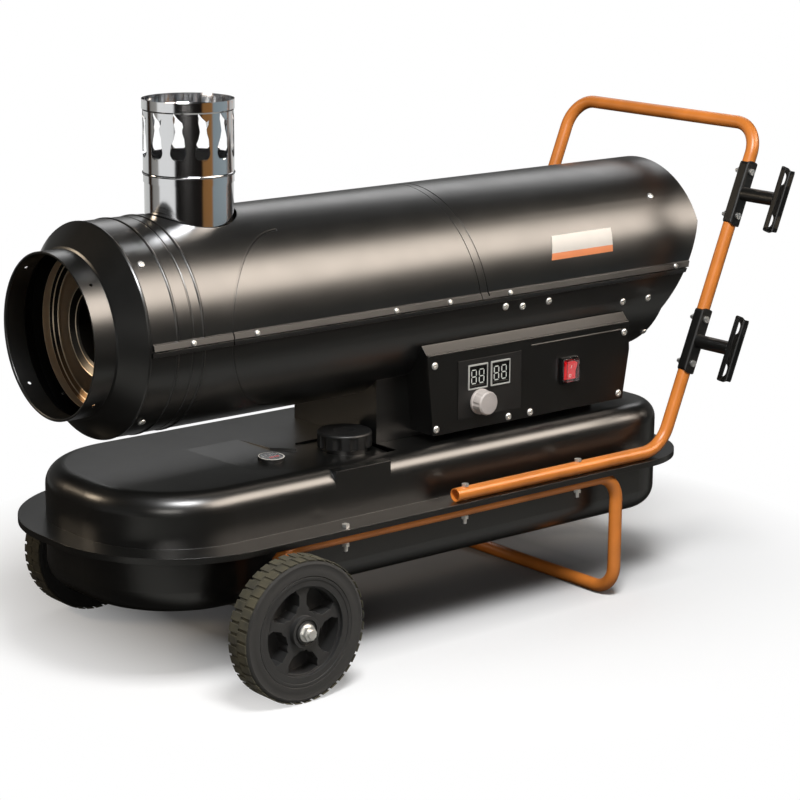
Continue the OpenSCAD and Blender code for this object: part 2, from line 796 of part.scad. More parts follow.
screw_shank = 2;
module screw_hole() translate([0, 0, -8]) cylinder(r = screw_shank + 0.1, h = 16, $fn = 24);
module pan_screw(head = 5.5) {
  intersection() {
    cylinder(r = head, h = 3, $fn = 32);
    translate([0, 0, 2.8 - 1.5 * head]) sphere(1.5 * head, $fn = 32);
  }
  translate([0, 0, -6]) cylinder(r = screw_shank, h = 6.5, $fn = 24);
}

module shell_screws()
  color(zinc) placed() on_barrel() {
    at_shell_screws() pan_screw();
    at_band_screws() pan_screw(4);
  }

// Outlet collar and cone, as [radius, x]
cone_x1 = barrel_x0 - 0.5;
cone_rim_r = barrel_r + 1.3;
skirt_l = 30;
module outlet_cone()
  color(black) placed() on_barrel() difference() {
    around_x() {
      translate([outlet_r - 1.5, outlet_x]) square([1.5, outlet_l]);
      translate([outlet_r - 2, outlet_x + 2]) circle(2);
      polygon([[outlet_r - 1.5, outlet_x + outlet_l - 0.1], [outlet_r, outlet_x + outlet_l - 0.1],
               [outlet_r + 3, outlet_x + outlet_l + 1.5], [cone_rim_r - 1, cone_x1 - 4],
               [cone_rim_r, cone_x1 - 1.8], [cone_rim_r - 0.5, cone_x1], [barrel_r - shell_t - 0.3, cone_x1],
               [barrel_r - shell_t - 0.3, cone_x1 + skirt_l], [barrel_r - shell_t - 1.5, cone_x1 + skirt_l],
               [barrel_r - shell_t - 1.5, cone_x1 - 1.5], [outlet_r + 2, outlet_x + outlet_l + 3]]);
    }
    for (a = [45 : 90 : 315]) rotate([a, 0, 0]) translate([outlet_x + 17, 0, outlet_r - 10])
      cylinder(r = 2.6, h = 20, $fn = 24);
    for (s = [side_screws[0], side_screws[1]]) both_sides() rotate([-s[1], 0, 0])
      translate([s[0], -barrel_r, 0]) rotate([90, 0, 0]) screw_hole();
  }

// Burner

liner_r = 110;
liner_x0 = -159;
liner_x1 = 470;
liner_mouth_r = 98;
// Thin air guide round the chamber, drawn in at its mouth, on four standoffs.
module air_liner()
  color([0.62, 0.5, 0.38]) placed() on_barrel() difference() {
    union() {
      around_x() {
        translate([liner_r - 1, liner_x0]) square([1, liner_x1 - liner_x0]);
        polygon([[liner_r - 0.5, liner_x0 + 10], [liner_mouth_r, liner_x0 + 18],
                 [liner_mouth_r, liner_x0 + 20], [liner_r - 0.5, liner_x0 + 12]]);
      }
      for (x = [-100, 380], a = [45 : 90 : 315]) rotate([a, 0, 0]) translate([x, 0, liner_r - 0.5])
        cylinder(r = 5, h = barrel_r - shell_t - liner_r + 0.2, $fn = 24);
    }
    translate([flue_x, 0, 0]) cylinder(r = flue_r + 3, h = 200);
  }

chamber_x0 = -74;
chamber_x1 = chamber_x0 + chamber_l;
burner_r = 42;
stub_h = 22;
// Closed drum with rounded ends, a flue stub on top and the burner opening behind.
module combustion_chamber()
  color([0.55, 0.5, 0.45]) placed() on_barrel() difference() {
    union() {
      around_x() {
        translate([0, chamber_x0]) square([chamber_r - 20, chamber_l]);
        translate([0, chamber_x0 + 20]) square([chamber_r, chamber_l - 40]);
        for (x = [chamber_x0 + 20, chamber_x1 - 20]) translate([chamber_r - 20, x]) circle(20);
      }
      translate([flue_x, 0, chamber_r - 40]) cylinder(r = flue_r - 1.1, h = 40 + stub_h);
      for (x = [60, 360], a = [45 : 90 : 315]) rotate([a, 0, 0]) translate([x, 0, chamber_r - 1])
        cylinder(r = 5, h = liner_r - chamber_r - part_gap, $fn = 24);
    }
    around_x() translate([0, chamber_x0 + 2]) square([chamber_r - 22, chamber_l - 4]);
    around_x() translate([0, chamber_x0 + 22]) square([chamber_r - 2, chamber_l - 44]);
    translate([flue_x, 0, 0]) cylinder(r = flue_r - 3, h = 200);
    translate([chamber_x1 - 10, 0, 0]) rotate([0, 90, 0]) cylinder(r = burner_r + 0.05, h = 20);
  }

nose_x0 = -152;
nose_r = 66;
// The drum's round front end that shows in the outlet: a rim, a step and a dished face.
module chamber_nose()
  color([0.7, 0.66, 0.6]) placed() on_barrel() around_x() difference() {
    translate([0, nose_x0]) square([nose_r, chamber_x0 - nose_x0]);
    translate([-1, nose_x0 - 1]) square([nose_r - 1, 7]);
    translate([-1, nose_x0]) square([nose_r - 11, 12]);
    translate([-1, nose_x0 + 10]) square([nose_r - 14, chamber_x0 - nose_x0 - 13]);
    translate([0, nose_x0 - 122]) circle(145, $fn = 128);
  }

module flue_pipe()
  color(steel) placed() on_barrel() translate([flue_x, 0, 0]) difference() {
    translate([0, 0, chamber_r + 1]) cylinder(r = flue_r, h = flue_pipe_z - barrel_z - chamber_r - 1);
    cylinder(r = flue_r - 1, h = 400);
  }

// One flame window as [distance round the cap, height], with a two pointed tip.
module flame_window() {
  translate([0, 11]) circle(11, $fn = 32);
  polygon([[-10.5, 14], [10.5, 14], [9.5, 22], [9, 30], [6.5, 38], [6, 43], [9, 49], [10, 56],
           [6, 52.5], [0, 58], [-5.5, 65], [-6.5, 57], [-4.5, 46], [-3.5, 40], [-5.5, 31], [-9.5, 21]]);
}

cap_gap = 0.15;
flue_cap_r = flue_r + 1.2;
window_z = 706;
bead_z = 684;
crown_z = flue_top_z - 13;
crown_step = 1;
swage_h = 2;
window_from = -45;
// Slip on cowl: open top with a swaged crown, a bead that stops it on the pipe, and
// flame windows all round but for a gap at the seam behind.
module flue_cap()
  color(steel) placed() translate([flue_x, 0, 0]) difference() {
    rotate_extrude() difference() {
      union() {
        polygon([[flue_r + cap_gap, flue_cap_z], [flue_cap_r, flue_cap_z], [flue_cap_r, crown_z - swage_h],
          [flue_cap_r + crown_step, crown_z], [flue_cap_r + crown_step, flue_top_z],
          [flue_r + cap_gap + crown_step, flue_top_z], [flue_r + cap_gap + crown_step, crown_z],
          [flue_r + cap_gap, crown_z - swage_h]]);
        translate([flue_cap_r - 0.6, bead_z]) circle(2);
      }
      translate([flue_r + cap_gap - 6, flue_cap_z - 1]) square([6, 200]);
    }
    for (i = [0 : flue_windows - 1]) rotate([0, 0, window_from - i * window_pitch])
      translate([flue_r - 8, 0, window_z]) rotate([90, 0, 90]) linear_extrude(20) flame_window();
  }

burner_x1 = 560;
module burner_head()
  color([0.5, 0.5, 0.52]) placed() on_barrel() difference() {
    union() {
      translate([chamber_x1 - 40, 0, 0]) rotate([0, 90, 0])
        cylinder(r = burner_r, h = burner_x1 - chamber_x1 + 40);
      translate([chamber_x1, 0, 0]) rotate([0, 90, 0]) cylinder(r = burner_r + 12, h = 3);
    }
    translate([chamber_x1 - 38, 0, 0]) rotate([0, 90, 0]) cylinder(r = burner_r - 2, h = 200);
    translate([chamber_x1 - 50, 0, 0]) rotate([0, 90, 0]) cylinder(r = 14, h = 20);
    for (a = [0 : 60 : 300]) rotate([a, 0, 0]) translate([chamber_x1 - 50, -1.5, 18]) cube([20, 3, 16]);
    for (a = [30 : 60 : 330]) rotate([a, 0, 0]) translate([burner_x1 - 40, 0, burner_r - 10])
      cylinder(r = 8, h = 20);
  }

nozzle_x = chamber_x1 - 20;
module fuel_nozzle()
  color([0.75, 0.6, 0.3]) placed() on_barrel() {
    translate([nozzle_x, 0, 0]) rotate([0, 90, 0]) cylinder(r = 8, h = 34, $fn = 6);
    translate([nozzle_x - 8, 0, 0]) rotate([0, 90, 0]) cylinder(r = 5, h = 10);
    translate([nozzle_x + 26, -burner_r + 2.6, -4]) cube([4, 2 * burner_r - 5.2, 8]);
  }

module ignition_electrodes()
  color([0.9, 0.88, 0.82]) placed() on_barrel() for (s = [-1, 1]) {
    translate([nozzle_x - 4, s * 14, 9]) rotate([0, 90, 0]) cylinder(r = 4, h = 44);
    translate([nozzle_x - 14, s * 14, 9]) rotate([0, 90, 0]) cylinder(r = 1.2, h = 12);
    translate([nozzle_x - 14, s * 14, 9]) rotate([s * 80, 0, 0]) cylinder(r = 1.2, h = 10);
  }

motor_x0 = 612;
motor_x1 = 704;
motor_r = 48;
shaft_r = 5;
module fan_motor()
  color([0.35, 0.36, 0.38]) placed() on_barrel() difference() {
    union() {
      translate([motor_x0 + 4, 0, 0]) rotate([0, 90, 0]) cylinder(r = motor_r, h = motor_x1 - motor_x0 - 8);
      translate([motor_x0, 0, 0]) rotate([0, 90, 0]) cylinder(r = motor_r - 8, h = motor_x1 - motor_x0);
      for (a = [0 : 30 : 330]) rotate([a, 0, 0]) translate([motor_x0 + 12, -1.5, motor_r - 1])
        cube([motor_x1 - motor_x0 - 24, 3, 4]);
    }
    translate([motor_x1 - 22, 0, 0]) rotate([0, 90, 0]) cylinder(r = shaft_r + run_gap, h = 30);
  }

// Ring round the motor with a bent strap foot to each side of the lower shell.
module motor_bracket()
  color(zinc) placed() on_barrel() {
    difference() {
      translate([motor_x0 + 30, 0, 0]) rotate([0, 90, 0]) cylinder(r = motor_r + 6, h = 30);
      translate([motor_x0 + 20, 0, 0]) rotate([0, 90, 0]) cylinder(r = motor_r + 3.02, h = 60);
    }
    for (a = [120, 240]) rotate([a, 0, 0]) translate([motor_x0 + 30, -10, motor_r + 5])
      cube([30, 20, barrel_r - shell_t - motor_r - 5.6]);
  }

// Fan with curved blades: each blade is cut from a thin round shell.
blade_r = 70;
module fan()
  color([0.7, 0.7, 0.72]) placed() on_barrel() {
    translate([fan_x - 14, 0, 0]) rotate([0, 90, 0]) cylinder(r = 16, h = 28);
    for (i = [1 : fan_blades]) rotate([i * 360 / fan_blades, 0, 0]) fan_blade();
    translate([motor_x1 - 20, 0, 0]) rotate([0, 90, 0]) cylinder(r = shaft_r, h = fan_x + 18 - motor_x1 + 20);
  }

module fan_blade()
  intersection() {
    translate([fan_x - 16, 0, 0]) rotate([0, 90, 0]) cylinder(r = fan_r, h = 32);
    translate([fan_x - 30, -45, 12]) cube([60, 90, fan_r]);
    translate([fan_x + 46, -46, 0]) difference() {
      cylinder(r = blade_r, h = fan_r + 5);
      translate([0, 0, -1]) cylinder(r = blade_r - 1.6, h = fan_r + 7);
    }
  }

pump_x0 = 584;
module fuel_pump()
  color([0.6, 0.6, 0.62]) placed() on_barrel() {
    translate([pump_x0, -24, -24]) cube([22, 48, 48]);
    translate([pump_x0 + 20, 0, 0]) rotate([0, 90, 0]) cylinder(r = 14, h = motor_x0 - pump_x0 - 20);
    translate([pump_x0 + 11, 0, 23]) cylinder(r = 5, h = 10);
    translate([pump_x0 + 11, 0, -33]) cylinder(r = 6, h = 10);
  }

pipe_r = 3;
// Pick up pipe from the bottom of the tank through the support box to the pump.
module pump_feed_pipe()
  color([0.72, 0.45, 0.25]) placed()
    bent_bar([[pickup_x, 0, tank_bottom_z + 12], [pickup_x, 0, 358], [pump_x0 + 11, 0, 358],
      [pump_x0 + 11, 0, barrel_z - 33]], [12, 18], pipe_r);

// Pressure pipe from the pump's outlet to the nozzle.
module nozzle_pipe()
  color([0.72, 0.45, 0.25]) placed() on_barrel()
    bent_bar([[pump_x0 + 11, 0, 33], [pump_x0 + 11, 0, 44], [571, 0, 44], [571, 0, 0],
      [nozzle_x + 34, 0, 0]], [8, 8, 12], pipe_r);

guard_x = 788;
guard_wire = 1.5;
// Wire guard: rings and radial bars inside the rear end.
module intake_guard()
  color([0.12, 0.12, 0.12]) placed() on_barrel() {
    for (r = [22 : 15 : 127]) around_x() translate([r, guard_x]) circle(guard_wire, $fn = 16);
    around_x() translate([barrel_r - shell_t - 3.5, guard_x - 6]) square([3.2, 12]);
    for (a = [30 : 60 : 330]) rotate([a, 0, 0]) translate([guard_x + 1.2, -1.2, 18])
      cube([2.4, 2.4, barrel_r - shell_t - 20]);
    translate([guard_x - 2.5, 0, 0]) rotate([0, 90, 0]) cylinder(r = 23, h = 2.5);
  }

// Support box between tank and barrel

support_x0 = 264;
support_x1 = 690;
support_y = 97;
support_t = 2;
module support_box()
  color(black) placed() difference() {
    translate([support_x0, -support_y, tank_top_z])
      cube([support_x1 - support_x0, 2 * support_y, barrel_z - tank_top_z - 60]);
    on_barrel() translate([support_x0 - 5, 0, 0]) rotate([0, 90, 0])
      cylinder(r = barrel_r + 0.02, h = support_x1 - support_x0 + 10, $fn = 96);
    translate([support_x0 + support_t, -support_y + support_t, tank_top_z - 1])
      cube([support_x1 - support_x0 - 2 * support_t, 2 * (support_y - support_t), 200]);
    translate([support_x1 - 10, 0, gland_z]) rotate([0, 90, 0]) cylinder(r = gland_r + 0.05, h = 20);
  }

gland_z = tank_top_z + 32;
gland_r = 9;
gland_bore = 4.5;
module cable_gland()
  color([0.05, 0.05, 0.05]) placed() translate([support_x1, 0, gland_z]) rotate([0, 90, 0]) difference() {
    union() {
      translate([0, 0, -10]) cylinder(r = gland_r, h = 12);
      cylinder(r = gland_r + 3, h = 5, $fn = 6);
      translate([0, 0, 5]) cylinder(r = gland_r + 1, h = 8);
      translate([0, 0, -support_t - 4]) cylinder(r = gland_r + 3, h = 4, $fn = 6);
    }
    translate([0, 0, -11]) cylinder(r = gland_bore, h = 30);
  }

filter_x = 470;
module fuel_filter()
  color([0.8, 0.75, 0.6]) placed() translate([filter_x, 40, tank_top_z]) {
    cylinder(r = 18, h = 36);
    translate([0, 0, 36]) cylinder(r = 22, h = 8);
    translate([0, 0, 20]) rotate([90, 0, 0]) cylinder(r = pipe_r, h = 22);
  }

// Controls

box_t = 1.5;
box_back_y = support_y + 0.3;
panel_z0 = panel_top_z - panel_h;
panel_slope = 12.5;
cover_rise = 13;
cover_in = 12;

// End view of the control box as [y, z], on the near side.
module box_section(in)
  difference() {
    polygon([[-panel_y + in, panel_z0 + in], [-panel_y + in, panel_top_z - in * 0.6],
             [-panel_y + cover_in + in, panel_top_z + cover_rise - in * 0.6],
             [-box_back_y - in, panel_top_z + cover_rise - in], [-box_back_y - in, panel_z0 + in]]);
    translate([0, barrel_z]) circle(barrel_r + 0.3 + in, $fn = 96);
  }

// Side outline of box and panel as [x, z]: a little shorter at the bottom.
module panel_outline(in = 0)
  polygon([[panel_x0 + in, panel_top_z + 60], [panel_x0 + in, panel_top_z],
           [panel_x0 + panel_slope + in, panel_z0 - 1],
           [panel_x0 + panel_l - panel_slope + 3 - in, panel_z0 - 1],
           [panel_x0 + panel_l + 3 - in, panel_top_z - 45],
           [panel_x0 + panel_l - in, panel_top_z], [panel_x0 + panel_l - in, panel_top_z + 60]]);

module control_box()
  color(black) placed() difference() {
    intersection() {
      along_x(panel_x0 - 10, panel_x0 + panel_l + 20) box_section(0);
      across_y(600) panel_outline();
    }
    intersection() {
      along_x(panel_x0 - 10, panel_x0 + panel_l + 20) box_section(box_t);
      across_y(600) panel_outline(box_t);
    }
    translate([panel_x0 + 24, -panel_y - 5, panel_z0 + 9]) cube([panel_l - 48, 10, panel_h - 18]);
    at_panel_screws() cylinder(r = 2.1, h = 16, center = true, $fn = 24);
  }

panel_t = 2;
knob_x = 416;
knob_z = 330;
switch_x = 591;
switch_z = 352;
display_x = [410.5, 454];
display_z = 368;

module at_panel(x, z) translate([x, -panel_y, z]) rotate([90, 0, 0]) children();
module at_panel_screws() {
  for (p = [[14, -17], [18, -panel_h + 9], [panel_l - 9, -17], [panel_l - 18, -panel_h + 9],
            [157, -panel_h + 7], [200, -panel_h + 7]])
    at_panel(panel_x0 + p[0], panel_top_z + p[1]) children();
}

// Face plate with a pressed line above the switch and a turned in top edge.
module control_panel()
  color([0.09, 0.09, 0.09]) placed() difference() {
    union() {
      intersection() {
        translate([panel_x0 - 5, -panel_y - panel_t, panel_z0]) cube([panel_l + 20, panel_t, panel_h]);
        across_y(600) panel_outline();
      }
      translate([panel_x0 + panel_l / 2, -panel_y - panel_t, panel_top_z - 12]) rotate([0, 90, 0])
        cylinder(r = 1.2, h = panel_l / 2 - 16, $fn = 24);
      translate([panel_x0 + 1, -panel_y - panel_t, panel_top_z - 1.4]) rotate([0, 90, 0])
        cylinder(r = 1.4, h = panel_l - 2, $fn = 24);
    }
    at_panel(knob_x, knob_z) translate([0, 0, -1]) cylinder(r = 5, h = 10);
    for (x = display_x) at_panel(x, display_z) cube([display_w - 6, display_w - 10, 20], center = true);
    at_panel(switch_x, switch_z) cube([rocker_w + 4, rocker_h + 4, 20], center = true);
    at_panel_screws() cylinder(r = 2.1, h = 16, center = true, $fn = 24);
  }

insert_w = 122;
insert_h = 86;
insert_t = 1.2;
insert_x0 = 374;
insert_z0 = 308;
module panel_insert()
  color([0.05, 0.05, 0.05]) placed() difference() {
    translate([insert_x0, -panel_y - panel_t - insert_t, insert_z0]) cube([insert_w, insert_t, insert_h]);
    at_panel(knob_x, knob_z) cylinder(r = 5, h = 10);
    for (x = display_x) at_panel(x, display_z) cube([display_w - 6, display_w - 10, 20], center = true);
  }

// Two display modules: a raised frame, a window and the circuit block behind.
frame_h = 2;
module displays()
  color([0.6, 0.6, 0.58]) placed() for (x = display_x) at_panel(x, display_z) {
    translate([0, 0, panel_t + insert_t + frame_h / 2]) difference() {
      cube([display_w, display_w, frame_h], center = true);
      cube([display_w - 7, display_w - 11, frame_h + 1], center = true);
    }
    translate([0, 0, (panel_t + insert_t + 0.6) / 2 - 4])
      cube([display_w - 6.6, display_w - 10.6, panel_t + insert_t + 8.6], center = true);
  }

spindle_r = 3;
module thermostat()
  color([0.5, 0.5, 0.5]) placed() at_panel(knob_x, knob_z) {
    translate([0, 0, -14]) cylinder(r = 12, h = 12);
    translate([0, 0, -2.1]) cylinder(r = 4.6, h = 8);
    cylinder(r = spindle_r, h = 16);
  }

// Lobed knob, a little smaller at its face, with a running bore on the spindle.
knob_h = 20;
knob_back = panel_t + insert_t + part_gap;
knob_lobes = 8;
module thermostat_knob()
  color([0.82, 0.82, 0.82]) placed() at_panel(knob_x, knob_z) translate([0, 0, knob_back]) difference() {
    rotate_extrude() polygon([[0, 0], [knob_d / 2, 0], [knob_d / 2, 3], [knob_d / 2 - 1, 4],
      [knob_d / 2 - 1.5, knob_h - 2], [knob_d / 2 - 3.5, knob_h], [0, knob_h]]);
    for (i = [1 : knob_lobes]) rotate([0, 0, i * 360 / knob_lobes])
      translate([knob_d / 2 + 5, 0, 4]) cylinder(r = 7, h = knob_h);
    translate([0, 0, -1]) cylinder(r = spindle_r + run_gap, h = 15);
    translate([0, 0, -1]) cylinder(r = 6, h = 5);
    translate([-0.8, knob_d / 2 - 10, knob_h - 0.8]) cube([1.6, 8, 2]);
  }

switch_t = 4;
module switch_frame()
  color([0.04, 0.04, 0.04]) placed() at_panel(switch_x, switch_z) difference() {
    union() {
      translate([0, 0, panel_t + switch_t / 2]) cube([rocker_w + 10, rocker_h + 10, switch_t], center = true);
      translate([0, 0, -8]) cube([rocker_w + 3.6, rocker_h + 3.6, 20 + 2 * panel_t], center = true);
    }
    translate([0, 0, 2]) cube([rocker_w + 0.8, rocker_h + 0.8, 2 * (panel_t + switch_t) + 8], center = true);
    translate([0, 0, rocker_pivot]) rotate([0, 90, 0])
      cylinder(r = 2 + run_gap, h = rocker_w + 3, center = true);
  }

// Rocker that pivots on a pin across its middle. Its face is a shallow V.
rocker_pivot = 0.5;
rocker_tilt = 10;
module power_rocker()
  color([0.8, 0.05, 0.05, 0.9]) placed() at_panel(switch_x, switch_z) translate([0, 0, rocker_pivot])
    rotate([rocker_tilt, 0, 0]) {
      rotate([0, 90, 0]) cylinder(r = 2, h = rocker_w + 2.6, center = true);
      rotate([0, 90, 0]) linear_extrude(rocker_w, center = true)
        polygon([[3, -rocker_h / 2 + 1.6], [-6.5, -rocker_h / 2 + 2.2], [-8.5, -rocker_h / 2 + 2.4],
                 [-6.8, 0], [-8.5, rocker_h / 2 - 2.4], [-6.5, rocker_h / 2 - 2.2], [3, rocker_h / 2 - 1.6]]);
    }

// Clear splash cover over the rocker, thin and soft on the real switch.
cover_rim = panel_t + switch_t;
cover_h = 9;
module switch_cover()
  color([0.9, 0.9, 0.9, 0.35]) placed()
    at_panel(switch_x, switch_z) translate([0, 0, cover_rim]) difference() {
      union() {
        translate([0, 0, 1]) cube([rocker_w + 9, rocker_h + 9, 2], center = true);
        translate([0, 0, cover_h / 2]) cube([rocker_w + 4, rocker_h + 4, cover_h], center = true);
      }
      translate([0, 0, cover_h / 2 - 1.2]) cube([rocker_w + 2, rocker_h + 2, cover_h], center = true);
    }

module ignition_transformer()
  color([0.2, 0.2, 0.22]) placed() translate([530, -panel_y + 14, panel_z0 + box_t]) cube([70, 24, 34]);

module control_board()
  color([0.1, 0.35, 0.2]) placed() {
    translate([380, -panel_y + 26, panel_z0 + box_t]) cube([110, 1.6, 64]);
    translate([400, -panel_y + 18, panel_z0 + 30]) cube([20, 8.5, 14]);
    translate([450, -panel_y + 16, panel_z0 + 20]) cube([24, 10.5, 20]);
  }

module panel_screws()
  color(zinc) placed() at_panel_screws() translate([0, 0, panel_t]) pan_screw();

// Cord hooks: two channels joined by a stub, the inner one clamped to the near handle tube.

function handle_at(z) = handle_x1 + (z - tube_top_z) * tan(handle_lean);
hook_t = (hook_w - tube_d) / 2 - 0.05;
stub_r = 10.5;
hook_out_y = wheel_face_y + axle_end - tube_y;
hook_face_y = tube_r + 0.05 + hook_t;
inner_depth = 17;
outer_depth = 11;
hook_bolt_z = hook_l / 2 - 16;
hook_bolt_r = 3;

module at_hook(z) translate([handle_at(z), -tube_y, z]) rotate([0, handle_lean, 0]) children();
module at_hooks() {
  at_hook(hook_upper_z) children();
  at_hook(hook_lower_z) children();
}

module hook_bolt_holes()
  for (z = [-hook_bolt_z, hook_bolt_z]) translate([0, 30, z]) rotate([90, 0, 0])
    cylinder(r = hook_bolt_r + 0.2, h = 60);

// Channel that opens towards +y, its flat face at y = 0, with rounded ends.
hook_corner = 7;
module hook_channel(depth)
  intersection() {
    linear_extrude(hook_l, center = true) difference() {
      channel_section(hook_w / 2, depth + 8, 4.5);
      translate([0, hook_t]) channel_section(hook_w / 2 - hook_t, depth + 9, 4.5 - hook_t);
      translate([-50, depth]) square([100, 50]);
    }
    rotate([90, 0, 0]) linear_extrude(60, center = true) {
      square([hook_w + 1, hook_l - 2 * hook_corner], center = true);
      square([hook_w - 2 * hook_corner, hook_l], center = true);
      for (x = [-1, 1], z = [-1, 1])
        translate([x * (hook_w / 2 - hook_corner), z * (hook_l / 2 - hook_corner)])
          circle(hook_corner, $fn = 32);
    }
  }

// Plan of a channel's outside: half width w, depth d, corner radius r at its face.
module channel_section(w, d, r) {
  translate([-w, r]) square([2 * w, d - r]);
  translate([r - w, 0]) square([2 * (w - r), d]);
  for (x = [r - w, w - r]) translate([x, r]) circle(r);
}

slot_w = 15;
slot_l = 20;
module hook()
  difference() {
    union() {
      translate([0, -hook_face_y, 0]) hook_channel(inner_depth);
      translate([0, -hook_out_y + outer_depth, 0]) mirror([0, 1, 0]) hook_channel(outer_depth);
      translate([0, -hook_face_y + hook_t / 2, 0]) rotate([90, 0, 0])
        cylinder(r = stub_r, h = hook_out_y - outer_depth - hook_face_y + hook_t);
    }
    hook_bolt_holes();
    for (z = [-1, 1]) translate([0, -hook_out_y - 20, z * (hook_l / 2 - 18)]) rotate([-90, 0, 0])
      linear_extrude(40) {
        square([slot_w, slot_l - slot_w], center = true);
        for (s = [-1, 1]) translate([0, s * (slot_l - slot_w) / 2]) circle(slot_w / 2, $fn = 32);
      }
  }

module hook_upper() color(black) placed() at_hook(hook_upper_z) hook();
module hook_lower() color(black) placed() at_hook(hook_lower_z) hook();

module hook_bolts()
  color(zinc) placed() at_hooks() for (z = [-hook_bolt_z, hook_bolt_z])
    translate([0, 0, z]) rotate([90, 0, 0]) {
      translate([0, 0, -tube_r - 9]) cylinder(r = hook_bolt_r, h = tube_r + 9 + hook_face_y + 1);
      translate([0, 0, hook_face_y]) cylinder(r = 5, h = 3, $fn = 32);
      translate([0, 0, -tube_r - 5]) cylinder(r = 5, h = 4.9, $fn = 6);
    }

tank_lower();
tank_upper();
drain_plug();
filler_neck();
fuel_strainer();
cap_gasket();
fuel_cap();
gauge_body();
gauge_lens();
gauge_needle();
gauge_float();
chassis_tube();
handle_tube();
frame_bolts();
axle();
axle_washers();
axle_nuts();
wheel_rim_left();
wheel_tyre_left();
wheel_rim_right();
wheel_tyre_right();
barrel_lower();
barrel_upper_front();
barrel_upper_rear();
outlet_cone();
shell_screws();
air_liner();
combustion_chamber();
chamber_nose();
flue_pipe();
flue_cap();
burner_head();
fuel_nozzle();
ignition_electrodes();
fan_motor();
motor_bracket();
fan();
fuel_pump();
pump_feed_pipe();
nozzle_pipe();
intake_guard();
support_box();
fuel_filter();
cable_gland();
control_box();
control_panel();
panel_insert();
displays();
thermostat();
thermostat_knob();
switch_frame();
power_rocker();
switch_cover();
ignition_transformer();
control_board();
panel_screws();
hook_upper();
hook_lower();
hook_bolts();
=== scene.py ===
"""Finishes, small fittings and stage for the diesel space heater."""

import json
import math

import bmesh
import bpy
from bpy.props import FloatProperty, FloatVectorProperty, IntProperty, PointerProperty
from mathutils import Matrix, Vector


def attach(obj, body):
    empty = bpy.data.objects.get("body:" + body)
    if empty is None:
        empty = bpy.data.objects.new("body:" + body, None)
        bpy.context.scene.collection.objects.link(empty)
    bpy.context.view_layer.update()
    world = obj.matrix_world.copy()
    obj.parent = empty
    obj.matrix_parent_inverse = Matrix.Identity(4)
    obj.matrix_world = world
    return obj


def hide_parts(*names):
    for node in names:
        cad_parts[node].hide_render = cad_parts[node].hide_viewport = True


bl_info = {
    "name": "Diesel space heater",
    "version": (1, 0, 0),
    "blender": (4, 5, 0),
    "location": "3D View > Sidebar > Heater",
    "description": "Dresses the packed heater with finishes, fittings and a plain studio",
    "category": "Object",
}

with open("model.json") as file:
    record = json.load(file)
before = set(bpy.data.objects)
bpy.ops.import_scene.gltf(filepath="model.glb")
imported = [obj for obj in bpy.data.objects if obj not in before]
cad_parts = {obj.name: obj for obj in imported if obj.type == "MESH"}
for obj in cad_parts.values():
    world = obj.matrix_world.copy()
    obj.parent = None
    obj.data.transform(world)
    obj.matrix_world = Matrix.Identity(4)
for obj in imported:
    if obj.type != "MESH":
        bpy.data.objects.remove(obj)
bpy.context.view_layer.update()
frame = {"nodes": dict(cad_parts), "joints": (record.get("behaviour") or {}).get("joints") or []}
JOINTS = {joint["name"]: Vector(joint.get("pos_m", (0, 0, 0))) for joint in frame["joints"]}
MM = 0.001

# Sizes are in millimetres. Places along the heater are counted from the wheel axle, as a
# maker would take them off a drawing, places across from the middle plane, and heights
# from the floor. The near side, with the controls, is the negative one.
AXLE_X = JOINTS["wheel_left_spin"].x / MM
BARREL_Z = JOINTS["fan_spin"].z / MM
BARREL_R = 147.0

# the corners of a rectangle, in order
CORNERS = ((-1, -1), (1, -1), (1, 1), (-1, 1))


def at(x, y, z):
    """A place given in millimetres from the axle, as a point in metres."""
    return Vector(((x + AXLE_X) * MM, y * MM, z * MM))


# Colour and nodes


def linear(code):
    """Turns an sRGB hex code into a linear colour with alpha."""
    channels = [int(code[i : i + 2], 16) / 255 for i in (1, 3, 5)]
    return tuple(c / 12.92 if c <= 0.04045 else ((c + 0.055) / 1.055) ** 2.4 for c in channels) + (1.0,)


def tint(colour, factor):
    """A colour made darker or lighter by a factor."""
    return tuple(min(1.0, c * factor) for c in colour[:3]) + (1.0,)


def put(tree, kind, inputs=None, **settings):
    """Adds one node. A socket given as an input is linked, any other value is set."""
    node = tree.nodes.new(kind)
    for name, value in settings.items():
        setattr(node, name, value)
    for key, value in (inputs or {}).items():
        if isinstance(value, bpy.types.NodeSocket):
            tree.links.new(value, node.inputs[key])
        else:
            node.inputs[key].default_value = value
    return node


def surface(name, **values):
    """Makes a material with one principled shader. Returns its tree and the shader."""
    finish = bpy.data.materials.new(name)
    finish.use_nodes = True
    tree = finish.node_tree
    tree.nodes.clear()
    shader = put(tree, "ShaderNodeBsdfPrincipled", {k.replace("_", " "): v for k, v in values.items()})
    put(tree, "ShaderNodeOutputMaterial", {"Surface": shader.outputs[0]})
    return tree, shader


def material(name):
    """A finish by its name."""
    return bpy.data.materials[name]


def window(tree, edges):
    """One inside all the edges and zero outside, with each edge as (socket, start, full)."""
    inside = 1.0
    for socket, start, full in edges:
        edge = put(tree, "ShaderNodeMapRange", {"Value": socket, "From Min": start, "From Max": full})
        inside = put(tree, "ShaderNodeMath", {0: inside, 1: edge.outputs[0]}, operation="MULTIPLY").outputs[0]
    return inside


def direct_rays(tree, path):
    """One for what the camera sees by itself or through glass, and zero for the rest."""
    return put(tree, "ShaderNodeMath", {0: path["Is Camera Ray"], 1: path["Is Transmission Ray"]},
               operation="MAXIMUM").outputs[0]


